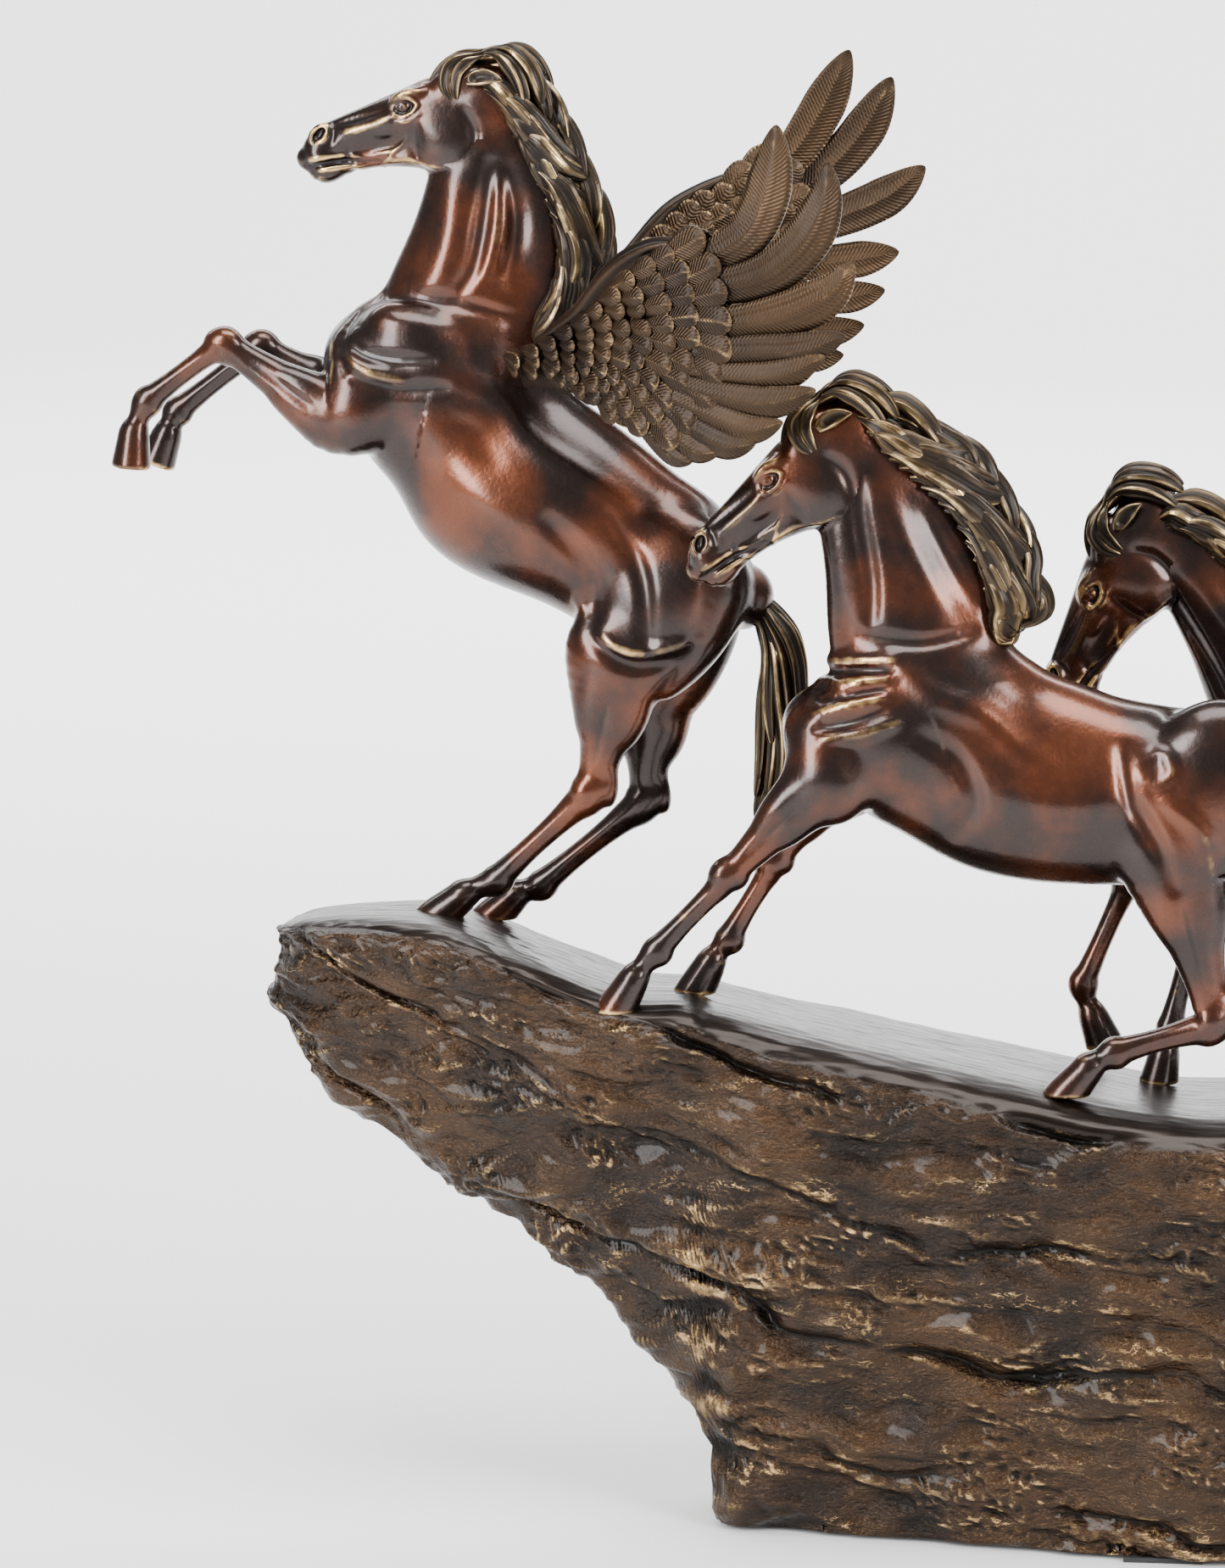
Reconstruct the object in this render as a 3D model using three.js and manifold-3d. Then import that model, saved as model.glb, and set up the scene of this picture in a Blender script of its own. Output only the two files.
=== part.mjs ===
// A cast bronze group: a winged horse rears on the prow of an overhanging rock, and two horses gallop up
// behind it. Lost-wax castings are made in sections, so each horse is a hollow torso with its neck, head,
// mane, tail, legs and wings welded on, and the rock is a shell of welded panels, open underneath.
// Each planted hoof is bolted through the top of the rock with a stud and a flanged nut.
// Millimetres, +Z up, the horses face -X, and the origin is at the middle of the box that the group fills,
// on the surface that it stands on.
import * as THREE from "three";
import { mergeVertices } from "three/addons/utils/BufferGeometryUtils.js";
import Module from "manifold-3d";

const wasm = await Module();
wasm.setup();

// Driving dimensions
const WELD_GAP = 0.3; // what two sections leave between them before the weld fills it
const SKIN = 5; // thickness of the cast wall of a horse
const ROCK_WALL = 6; // thickness of the cast wall of the rock
const HEAD_LENGTH = 120; // from poll to upper lip
const FORE_TRACK = 26; // from the middle of a horse to the middle of a foreleg
const HIND_TRACK = 27; // from the middle of a horse to the middle of a hind leg
const NECK_WELD = 0.42; // where the neck is welded on, as a share of its line
const THROAT_WELD = 0.86; // where the head is welded on, as a share of the neck's line
const LEG_WELD = 0.42; // where a leg is welded on, as a share of its forearm or gaskin
const STUD = { radius: 3, inHoof: 11, below: 13, clearance: 0.35 };
const NUT = { acrossCorners: 11, height: 6, flangeRadius: 8, flangeHeight: 1.6, drop: 0.9 };
const PAD = { length: 46, width: 12, height: 3 };
const FAR = 1600; // a cutting block this big takes in everything beyond its face

// Finishes
const BRONZE = new THREE.MeshStandardMaterial({ color: 0x4a2415, roughness: 0.3, metalness: 0.9 });
const HAIR_BRONZE = new THREE.MeshStandardMaterial({ color: 0x5a4020, roughness: 0.35, metalness: 0.9 });
const FEATHER_BRONZE = new THREE.MeshStandardMaterial({ color: 0x4a3526, roughness: 0.5, metalness: 0.85 });
const ROCK_BRONZE = new THREE.MeshStandardMaterial({ color: 0x2e2117, roughness: 0.5, metalness: 0.8 });
const STEEL = new THREE.MeshStandardMaterial({ color: 0x9a9a98, roughness: 0.4, metalness: 1 });
const RUBBER = new THREE.MeshStandardMaterial({ color: 0x181818, roughness: 0.9, metalness: 0 });

// The poses: where each horse's middle plane stands, and its joints in that plane as [x, z].
const PEGASUS = {
  name: "pegasus",
  stands: { x: 0, y: 5, turn: -5 },
  spine: [[-163, 692], [-130, 678], [-66, 627], [8, 577], [86, 545]],
  crest: [[-100, 676], [-86, 737], [-79, 784], [-73, 836]],
  head: { poll: [-68, 843], dip: 20 },
  mane: [[-66, 856], [-44, 837], [-27, 802], [-21, 770], [-22, 736], [-30, 704]],
  legs: {
    left_foreleg: [[-124, 682], [-161, 652], [-228, 695], [-275, 660], [-282, 640], [-284, 620]],
    right_foreleg: [[-134, 676], [-163, 655], [-218, 688], [-270, 648], [-275, 634], [-282, 616]],
    left_hindleg: [[47, 562], [7, 502], [-9, 435], [-66, 381], [-85, 371], [-100, 358]],
    right_hindleg: [[36, 556], [18, 483], [14, 421], [-50, 368], [-64, 361], [-77, 348]],
  },
  planted: ["left_hindleg", "right_hindleg"],
  tail: [[84, 552], [99, 521], [99, 486], [98, 451], [89, 420]],
};
const FRONT_HORSE = {
  name: "front_horse",
  stands: { x: 0, y: -75, turn: 0 },
  spine: [[112, 488], [164, 479], [240, 463], [310, 448], [402, 455]],
  crest: [[190, 502], [169, 562], [157, 604], [139, 652]],
  head: { poll: [141, 660], dip: 45 },
  mane: [[143, 668], [166, 656], [190, 633], [212, 603], [226, 576], [250, 556]],
  legs: {
    left_foreleg: [[148, 478], [124, 453], [74, 400], [33, 357], [21, 340], [11, 322]],
    right_foreleg: [[152, 470], [128, 446], [98, 399], [71, 354], [62, 340], [53, 323]],
    left_hindleg: [[355, 472], [332, 408], [354, 320], [297, 303], [283, 293], [271, 278]],
    right_hindleg: [[361, 459], [362, 405], [407, 333], [418, 284], [413, 273], [407, 257]],
  },
  planted: ["left_foreleg", "right_foreleg", "left_hindleg", "right_hindleg"],
  tail: [[398, 462], [424, 474], [450, 462], [470, 432], [480, 396]],
};
const REAR_HORSE = {
  name: "rear_horse",
  stands: { x: 0, y: 60, turn: 0 },
  spine: [[344, 432], [393, 427], [468, 412], [540, 397], [635, 401]],
  crest: [[422, 452], [381, 508], [349, 556], [314, 584]],
  head: { poll: [308, 592], dip: 68 },
  mane: [[324, 598], [352, 586], [382, 562], [410, 532], [436, 506], [468, 490]],
  legs: {
    left_foreleg: [[378, 418], [364, 388], [342, 340], [329, 288], [327, 273], [324, 256]],
    right_foreleg: [[374, 415], [344, 396], [304, 368], [276, 302], [284, 283], [291, 266]],
    left_hindleg: [[586, 421], [563, 352], [585, 262], [527, 246], [514, 238], [503, 223]],
    right_hindleg: [[595, 406], [598, 350], [644, 275], [655, 226], [650, 215], [643, 199]],
  },
  planted: ["left_foreleg", "left_hindleg", "right_hindleg"],
  tail: [[632, 410], [656, 424], [680, 412], [698, 382], [706, 344]],
};

// Girths, the same for all three horses.
// Along the spine: [share of the way, half depth, half width, how much narrower the top is].
const TORSO_GIRTHS = [
  [0, 13, 13, 0],
  [0.07, 34, 27, 0],
  [0.2, 49, 35, 0.05],
  [0.36, 57, 39, 0.12],
  [0.48, 57, 41, 0.12],
  [0.6, 56, 41, 0.1],
  [0.72, 54, 40, 0.05],
  [0.84, 47, 37, 0],
  [0.94, 30, 27, 0],
  [1, 13, 13, 0],
];
const NECK_GIRTHS = [
  [0, 55, 30, 0.3],
  [0.3, 46, 24, 0.3],
  [0.55, 36, 20, 0.25],
  [0.8, 30, 17, 0.2],
  [1, 24, 15, 0.1],
];
// Along the head: [share of its length, how far its middle hangs below the line, half depth, half width,
// how much narrower the underside is].
const HEAD_GIRTHS = [
  [-0.06, 1, 12, 10, 0],
  [0.06, 6, 24.5, 16, 0.1],
  [0.2, 8.5, 29.5, 18, 0.15],
  [0.36, 7.5, 29.5, 19, 0.2],
  [0.52, 3.5, 23.5, 15, 0.2],
  [0.68, 0.5, 19.5, 12, 0.1],
  [0.84, 0.5, 17, 12, 0],
  [0.95, 3, 14.5, 11, 0],
  [1, 4.5, 9, 8, 0],
];
// Down a leg: [bone, share of the bone, half depth, half width, how far in from its track].
const FORELEG_GIRTHS = [
  [0, 0, 30, 15, 4],
  [0, 0.5, 30, 18, 3],
  [1, 0, 23, 15, 1],
  [1, 0.3, 15.5, 12, 0],
  [1, 0.7, 10.5, 8.5, 0],
  [2, 0, 10, 9, 0],
  [2, 0.22, 7.4, 6.5, 0],
  [2, 0.8, 7, 6, 0],
  [3, 0, 8.8, 7.4, 0],
  [3, 0.55, 7, 6.6, 0],
  [4, 0, 9, 8.8, 0],
];
const HIND_LEG_GIRTHS = [
  [0, 0, 36, 17, 5],
  [0, 0.55, 40, 19, 3],
  [1, 0, 32, 17, 1],
  [1, 0.4, 20, 13.5, 0],
  [1, 0.8, 13.5, 9, 0],
  [2, 0, 13.5, 9.5, 0],
  [2, 0.2, 10, 7.8, 0],
  [2, 0.75, 8, 6.8, 0],
  [3, 0, 9.8, 8, 0],
  [3, 0.55, 7.6, 7, 0],
  [4, 0, 9.6, 9.2, 0],
];
// An ear is a flattened cone, and a hoof a cone whose top goes a little above the coronet and whose sole is
// a little below the ground, so that the ground trims it.
const EAR = { radius: 6, length: 26, flat: 0.7, up: 17, back: 3, lean: 18, apart: 7 };
const HOOF = { top: 8.4, sole: 11, above: 3, below: 2, longer: 1.1, raisedSlope: -0.5 };
const MANE_GIRTHS = [[7, 6], [16, 13], [21, 15], [21, 14], [16, 10], [4, 4]];
const TAIL_GIRTHS = [[8, 8], [12, 11], [15, 12], [13, 10], [4, 4]];

// The wings, in the winged horse's own frame, as [x, y, z]. Feathers run from the quill line to the tips.
// `talls` is a long feather's half breadth at shares of its length, and `last` how much narrower the last
// feather is than the first. The arm and the pad of small feathers change by a step from point to point.
const FEATHER = {
  talls: [[0, 9], [0.3, 11], [0.6, 12], [0.85, 10], [1, 3]],
  last: 0.85, wide: 2.2, bow: 6, sag: 0.4, stagger: 0.8,
};
const ARM = { tall: 15, tallStep: 2.4, wide: 9, wideStep: 1.3 };
const COVERTS = { tall: 22, step: 4, wide: 6, set: 6 };
const LEFT_WING = {
  name: "pegasus_left_wing",
  arm: [[-52, -28, 668], [-31, -48, 695], [-4, -68, 724], [26, -84, 750], [64, -98, 778]],
  quills: [[34, -88, 752], [8, -74, 712], [-8, -60, 668], [6, -46, 640]],
  tips: [
    [113, -120, 831], [141, -122, 812], [155, -124, 757], [152, -122, 713], [137, -118, 682],
    [119, -112, 664], [102, -106, 653], [82, -98, 647], [62, -88, 642],
  ],
};
const RIGHT_WING = {
  name: "pegasus_right_wing",
  arm: [[-46, 28, 672], [-26, 46, 700], [4, 64, 730], [50, 86, 768], [88, 100, 794]],
  quills: [[72, 96, 776], [38, 80, 740], [12, 62, 700], [16, 46, 664]],
  tips: [
    [121, 118, 860], [147, 121, 844], [165, 124, 790], [160, 122, 762], [150, 120, 738],
    [140, 116, 716], [124, 110, 696], [106, 102, 680], [84, 92, 668],
  ],
};

// The rock's outline at stations along X: the height of its top and underside in the middle, where its
// front and back faces are at the top, and the share of that width that is left at the bottom. Left of the
// foot the underside overhangs; the foot stands on the pads.
const DECK_TILT = -0.1; // rise of the top per millimetre towards +Y
const FOOT_STARTS = 80;
const ROCK = [
  { x: -192, top: 351, under: 296, front: -34, back: 40, keel: 0.7 },
  { x: -168, top: 357, under: 254, front: -64, back: 60, keel: 0.55 },
  { x: -100, top: 359, under: 208, front: -98, back: 80, keel: 0.4 },
  { x: -40, top: 338, under: 168, front: -114, back: 80, keel: 0.34 },
  { x: 14, top: 319, under: 124, front: -124, back: 82, keel: 0.3 },
  { x: 50, top: 317, under: 76, front: -129, back: 84, keel: 0.28 },
  { x: 66, top: 312, under: 40, front: -130, back: 86, keel: 0.3 },
  { x: 80, top: 309, under: 0, front: -131, back: 90, keel: 0.34 },
  { x: 104, top: 303, under: 0, front: -133, back: 98, keel: 0.38 },
  { x: 150, top: 293, under: 0, front: -135, back: 112, keel: 0.46 },
  { x: 230, top: 276, under: 0, front: -139, back: 126, keel: 0.62 },
  { x: 329, top: 257, under: 0, front: -141, back: 132, keel: 0.75 },
  { x: 409, top: 254, under: 0, front: -141, back: 134, keel: 0.82 },
  { x: 500, top: 229, under: 0, front: -139, back: 134, keel: 0.86 },
  { x: 600, top: 214, under: 0, front: -134, back: 130, keel: 0.88 },
  { x: 660, top: 206, under: 0, front: -112, back: 112, keel: 0.88 },
  { x: 690, top: 190, under: 0, front: -72, back: 76, keel: 0.85 },
];
const RAISED_ENDS = 4; // how far the middles of the rock's ends stand out
const ROCK_SIDE = 6; // faces along each side of the rock's section
const ROCK_ROUND = 12; // the higher, the squarer the section's corners
const LEDGE = { pitch: 34, dip: 0.42, depth: 5 };
const PANEL_CUTS = { prow: -30, middle: 330, deckDrop: 46 };
// Each pad's middle, and 1 where it lies across the group instead of along it.
const PADS = [[78, -9, 1], [330, -99, 0], [330, 90, 0], [600, -111, 0], [600, 107, 0]];

const degrees = THREE.MathUtils.degToRad;
const { clamp, lerp } = THREE.MathUtils;
const mix = (a, b, share) => a.map((value, i) => lerp(value, b[i], share));
const union = (solids) => solids.reduce((all, one) => all.add(one));

// A closed three.js geometry as a solid, turned the right way out.
function solidOf(geometry) {
  const bare = geometry.clone();
  bare.deleteAttribute("normal");
  bare.deleteAttribute("uv");
  const merged = mergeVertices(bare, 1e-3);
  const index = merged.index.array;
  const corners = [];
  for (let i = 0; i < index.length; i += 3) {
    const [a, b, c] = [index[i], index[i + 1], index[i + 2]];
    if (a !== b && b !== c && c !== a) corners.push(a, b, c);
  }
  const vertProperties = new Float32Array(merged.attributes.position.array);
  const make = (order) =>
    new wasm.Manifold(new wasm.Mesh({ numProp: 3, vertProperties, triVerts: new Uint32Array(order) }));
  const solid = make(corners);
  return solid.volume() < 0 ? make(corners.toReversed()) : solid;
}

// A solid as a three.js geometry.
function geometryOf(solid) {
  const mesh = solid.getMesh();
  const positions = new Float32Array(mesh.numVert * 3);
  for (let i = 0; i < mesh.numVert; i++) {
    positions.set(mesh.vertProperties.subarray(i * mesh.numProp, i * mesh.numProp + 3), i * 3);
  }
  const geometry = new THREE.BufferGeometry();
  geometry.setAttribute("position", new THREE.BufferAttribute(positions, 3));
  geometry.setIndex(new THREE.BufferAttribute(new Uint32Array(mesh.triVerts), 1));
  geometry.computeVertexNormals();
  return geometry;
}

// A smooth line through [x, z] or [x, y, z] points.
function lineThrough(points) {
  const corners = points.map((p) => new THREE.Vector3(p[0], p.length === 3 ? p[1] : 0, p.at(-1)));
  return new THREE.CatmullRomCurve3(corners, false, "centripetal");
}

// A body of oval section along a smooth path. A station is { x, y, z, tall, wide, egg }: tall is half its
// depth in the plane of the horse, wide half its width, egg how much narrower its top is. `side` is the
// direction of the width, and `grow` swells the whole body.
function loft(stations, { around = 10, between = 1, grow = 0, side = [0, 1, 0] } = {}) {
  const centres = lineThrough(stations.map((s) => [s.x, s.y ?? 0, s.z]));
  const girths = lineThrough(stations.map((s) => [s.tall, s.wide, s.egg ?? 0]));
  const spans = (stations.length - 1) * between;
  const geometry = new THREE.SphereGeometry(1, around, spans + 2);
  const place = geometry.attributes.position;
  const width = new THREE.Vector3(...side);
  for (let k = 0; k < place.count; k++) {
    const row = Math.floor(k / (around + 1));
    const turn = ((k % (around + 1)) % around) * ((2 * Math.PI) / around);
    const t = clamp((row - 1) / spans, 0, 1);
    const at = centres.getPoint(t);
    const forward = centres.getTangent(t);
    const girth = girths.getPoint(t);
    const end = row === 0 ? -1 : row === spans + 2 ? 1 : 0;
    const rise = end ? 0 : Math.sin(turn);
    const across = width.clone().addScaledVector(forward, -forward.dot(width)).normalize();
    const upward = new THREE.Vector3().crossVectors(forward, across);
    const reach = end ? 0 : (girth.y + grow) * Math.cos(turn) * (1 - girth.z * rise);
    at.addScaledVector(across, reach).addScaledVector(upward, (girth.x + grow) * rise);
    at.addScaledVector(forward, end * (0.35 * girth.x + grow));
    place.setXYZ(k, at.x, at.y, at.z);
  }
  return solidOf(geometry);
}

// A cutting block whose face lies `past` beyond `from`, and that reaches far along the direction [x, z].
function beyond(from, direction, past = 0) {
  const block = new THREE.BoxGeometry(FAR, FAR, FAR);
  const towards = new THREE.Vector3(direction[0], 0, direction[1]).normalize();
  const middle = new THREE.Vector3(from[0], 0, from[1]).addScaledVector(towards, FAR / 2 + past);
  const turned = new THREE.Quaternion().setFromUnitVectors(new THREE.Vector3(1, 0, 0), towards);
  block.applyMatrix4(new THREE.Matrix4().compose(middle, turned, new THREE.Vector3(1, 1, 1)));
  return solidOf(block);
}

// A solid cut in two at a weld: [the part before it, the part beyond it], a weld's gap apart.
function weldCut(solid, from, direction) {
  return [
    solid.subtract(beyond(from, direction, -WELD_GAP / 2)),
    solid.intersect(beyond(from, direction, WELD_GAP / 2)),
  ];
}

function bodyStations(points, girths) {
  const line = lineThrough(points);
  return girths.map(([share, tall, wide, egg]) => {
    const at = line.getPointAt(share);
    return { x: at.x, z: at.z, tall, wide, egg };
  });
}

// The head lies along a line that dips `dip` degrees from the poll towards -X.
function headStations({ poll, dip }) {
  const [fore, down] = [Math.cos(degrees(dip)), Math.sin(degrees(dip))];
  return HEAD_GIRTHS.map(([share, hang, tall, wide, egg]) => ({
    x: poll[0] - fore * share * HEAD_LENGTH + down * hang,
    z: poll[1] - down * share * HEAD_LENGTH - fore * hang,
    tall,
    wide,
    egg,
  }));
}

// An ear: a cone on the poll that leans back a little from the forehead.
function ear({ poll, dip }, side, grow = 0) {
  const cone = new THREE.ConeGeometry(EAR.radius + grow, EAR.length + 3 * grow, 8, 1);
  cone.scale(EAR.flat, 1, 1);
  cone.translate(0, EAR.up, EAR.back);
  cone.rotateX(degrees(90));
  cone.rotateY(degrees(EAR.lean - dip));
  cone.translate(poll[0], side * EAR.apart, poll[1]);
  return solidOf(cone);
}

function legStations(joints, girths, track) {
  return girths.map(([bone, share, tall, wide, inward]) => {
    const [x, z] = mix(joints[bone], joints[bone + 1], share);
    return { x, z, y: track - Math.sign(track) * inward, tall, wide };
  });
}

// A hoof: a cone that widens from the coronet to its sole, which follows the ground where it is planted.
function hoof(coronet, sole, track, slope) {
  const cone = new THREE.CylinderGeometry(HOOF.top, HOOF.sole, 1, 12, 1);
  const place = cone.attributes.position;
  for (let k = 0; k < place.count; k++) {
    const share = 0.5 - place.getY(k);
    const [x, z] = mix([coronet[0], coronet[1] + HOOF.above], [sole[0], sole[1] - HOOF.below], share);
    const fore = place.getX(k) * HOOF.longer;
    place.setXYZ(k, x + fore, track + place.getZ(k), z + fore * slope);
  }
  return solidOf(cone);
}

// An upright cylinder from one height to another.
function post(x, y, low, high, radius, sides = 12) {
  const cylinder = new THREE.CylinderGeometry(radius, radius, high - low, sides, 1);
  cylinder.rotateX(Math.PI / 2);
  cylinder.translate(x, y, (low + high) / 2);
  return solidOf(cylinder);
}

// A horse's leg as [upper part that is cast with the torso, lower part that is welded on].
function leg(horse, key) {
  const joints = horse.legs[key];
  const fore = key.includes("fore");
  const side = key.startsWith("left") ? -1 : 1;
  const track = side * (fore ? FORE_TRACK : HIND_TRACK);
  const limb = loft(legStations(joints, fore ? FORELEG_GIRTHS : HIND_LEG_GIRTHS, track), { around: 8 });
  const weld = mix(joints[1], joints[2], LEG_WELD);
  const direction = [joints[2][0] - joints[1][0], joints[2][1] - joints[1][1]];
  const [upper, lower] = weldCut(limb, weld, direction);
  const slope = horse.planted.includes(key) ? deckSlope(joints[5][0]) : HOOF.raisedSlope;
  return [upper, lower.add(hoof(joints[4], joints[5], track, slope))];
}

// All of a horse's castings, as { name: solid } in its own plane.
function horseCastings(horse, wings = []) {
  const legs = Object.keys(horse.legs).map((key) => [key, ...leg(horse, key)]);
  const spine = bodyStations(horse.spine, TORSO_GIRTHS);
  const crest = bodyStations(horse.crest, NECK_GIRTHS);
  const [trunk, neck] = [spine, crest].map((stations) => loft(stations, { around: 14 }));
  const cavities = [spine, crest.slice(0, 4)];
  const [trunkHollow, neckHollow] = cavities.map((stations) => loft(stations, { grow: -SKIN, around: 8 }));
  const crestLine = lineThrough(horse.crest);
  const weldAt = (share) => {
    const [at, to] = [crestLine.getPointAt(share), crestLine.getTangentAt(share)];
    return [[at.x, at.z], [to.x, to.z]];
  };
  const [root, upperNeck] = weldCut(neck, ...weldAt(NECK_WELD));
  const [column, nape] = weldCut(upperNeck, ...weldAt(THROAT_WELD));
  const skull = headStations(horse.head);
  const head = union([loft(skull, { around: 14 }), nape, ear(horse.head, -1), ear(horse.head, 1)]);
  const hollow = trunkHollow.add(neckHollow);
  const solid = union([trunk, root, ...legs.map(([, upper]) => upper)]);
  const grown = [spine, crest, skull].map((stations) => loft(stations, { grow: WELD_GAP, around: 14 }));
  const ears = [-1, 1].map((side) => ear(horse.head, side, 2 * WELD_GAP));
  const clear = union([...grown, ...ears, solid]);
  const castings = {
    torso: solid.subtract(hollow),
    neck: column.subtract(neckHollow).subtract(loft(skull, { grow: WELD_GAP, around: 14 })),
    head,
    mane: hair(horse.mane, MANE_GIRTHS).subtract(clear),
    tail: hair(horse.tail, TAIL_GIRTHS).subtract(clear),
  };
  for (const [key, , lower] of legs) castings[key] = lower;
  const named = Object.entries(castings).map(([key, casting]) => [horse.name + "_" + key, casting]);
  for (const wing of wings) named.push([wing.name, feathered(wing).subtract(clear)]);
  return Object.fromEntries(named);
}

// A lock of mane or tail.
function hair(points, girths) {
  const stations = points.map(([x, z], i) => {
    const [tall, wide] = girths[Math.min(i, girths.length - 1)];
    return { x, z, tall, wide };
  });
  return loft(stations, { between: 2, around: 10 });
}

// A wing: an arm along the leading edge, a pad of small feathers, and long feathers from the quill line.
function feathered({ arm, quills, tips }) {
  const outward = Math.sign(tips[0][1]);
  const armBody = loft(
    arm.map(([x, y, z], i) => ({
      x, y, z, tall: ARM.tall - ARM.tallStep * i, wide: ARM.wide - ARM.wideStep * i,
    })),
    { around: 10, between: 1 },
  );
  const line = lineThrough(quills);
  const feathers = tips.map((tip, i) => {
    const share = i / (tips.length - 1);
    const from = line.getPointAt(share).toArray();
    const bow = FEATHER.bow * (1 - share);
    const stagger = outward * (i % 2 ? FEATHER.stagger : 0);
    const stations = FEATHER.talls.map(([t, tall]) => {
      const [x, y, z] = mix(from, tip, t);
      const rise = bow * (Math.sin(Math.PI * t) - FEATHER.sag);
      const breadth = tall * lerp(1, FEATHER.last, share);
      return { x, y: y + stagger, z: z + rise, tall: breadth, wide: FEATHER.wide };
    });
    return loft(stations, { around: 6, side: [-0.5, outward, -0.2] });
  });
  const pad = loft(
    quills.map(([x, y, z], i) => ({
      x: x - COVERTS.set, y, z, tall: COVERTS.tall + COVERTS.step * i, wide: COVERTS.wide,
    })),
    { around: 10, between: 2, side: [-0.5, outward, -0.1] },
  );
  return union([armBody, pad, ...feathers]);
}

// The rock's top on the line y = 0, and its slope along X there.
const rockLines = ["top", "under", "front", "back", "keel"].map((key) => [
  key,
  lineThrough(ROCK.map((station) => [station.x, station[key]])),
]);
function rockAt(x) {
  const values = {};
  for (const [key, line] of rockLines) {
    let [low, high] = [0, 1];
    for (let i = 0; i < 24; i++) {
      const middle = (low + high) / 2;
      if (line.getPoint(middle).x < x) low = middle;
      else high = middle;
    }
    values[key] = line.getPoint(low).z;
  }
  return values;
}
// The point of a rounded square [across, rise] that is `k` steps round it, with `side` steps a side.
function aroundSquare(k, side) {
  const turn = k / side - 0.5;
  const face = Math.floor(turn + 0.5) % 4;
  const along = 2 * (turn + 0.5 - Math.floor(turn + 0.5)) - 1;
  const [a, b] = [[1, along], [-along, 1], [-1, -along], [along, -1]][face];
  const k2 = (Math.abs(a) ** ROCK_ROUND + Math.abs(b) ** ROCK_ROUND) ** (1 / ROCK_ROUND);
  return [a / k2, b / k2];
}

// The height of the rock's top, or with `inset` of the top of the space inside it.
function deckHeight(x, y, inset = 0) {
  const { top, under, front, back } = rockAt(x);
  const across = clamp((y - (front + back) / 2) / ((back - front) / 2 - inset), -0.999, 0.999);
  const rise = (1 - Math.abs(across) ** ROCK_ROUND) ** (1 / ROCK_ROUND);
  return lerp(under + inset, top - inset + DECK_TILT * y, (rise + 1) / 2);
}
function deckSlope(x) {
  return (rockAt(x + 10).top - rockAt(x - 10).top) / 20;
}

// The rock's body, or with `inset` the space inside its wall. Its rows lie at the stations and `between` of
// them, and its faces step in and out in slanted ledges.
function rockBody(inset, between, side) {
  const around = 4 * side;
  const along = (ROCK.length - 1) * between;
  const geometry = new THREE.SphereGeometry(1, around, along + 2);
  const place = geometry.attributes.position;
  const [first, last] = [ROCK[0].x + inset, ROCK.at(-1).x - inset];
  for (let k = 0; k < place.count; k++) {
    const row = clamp(Math.floor(k / (around + 1)) - 1, 0, along);
    const end = k <= around ? -1 : k >= place.count - around - 1 ? 1 : 0;
    const station = Math.min(Math.floor(row / between), ROCK.length - 2);
    const x = clamp(lerp(ROCK[station].x, ROCK[station + 1].x, row / between - station), first, last);
    const [across, rise] = end ? [0, 0] : aroundSquare((k % (around + 1)) % around, side);
    const { y, z } = rockPoint(x, across, rise, inset);
    place.setXYZ(k, x + end * RAISED_ENDS, y, z);
  }
  return solidOf(geometry);
}

// A point on the rock's section at x, `across` and `rise` from its middle, both from -1 to 1.
function rockPoint(x, across, rise, inset) {
  const { top, under, front, back, keel } = rockAt(x);
  const hollow = inset > 0;
  const onFoot = clamp((x - FOOT_STARTS) / 14 + (hollow ? 0 : 1), 0, 1);
  const low = lerp(Math.max(under, 0) + (hollow ? 2 : 1) * inset, hollow ? -60 : -20, onFoot);
  const flat = lerp(low, top - inset, (rise + 1) / 2);
  const taper = lerp(keel, 1, clamp((flat - under) / (top - under), 0, 1) ** 0.8);
  const half = Math.max(((back - front) / 2) * taper - inset, 4);
  const y = (front + back) / 2 + across * half;
  const z = flat + DECK_TILT * y * ((rise + 1) / 2);
  const layer = (z + LEDGE.dip * x + 0.2 * y) / LEDGE.pitch;
  const wall = hollow ? 0 : Math.abs(across) ** 6 * (1 - Math.abs(rise) ** 8);
  return { y: y + Math.sign(across) * LEDGE.depth * (layer - Math.floor(layer) - 0.5) * wall, z };
}

// A box from its low corner to its high corner.
function block(low, high) {
  const size = high.map((value, i) => value - low[i]);
  const box = new THREE.BoxGeometry(...size);
  box.translate(...low.map((value, i) => value + size[i] / 2));
  return solidOf(box);
}

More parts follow.
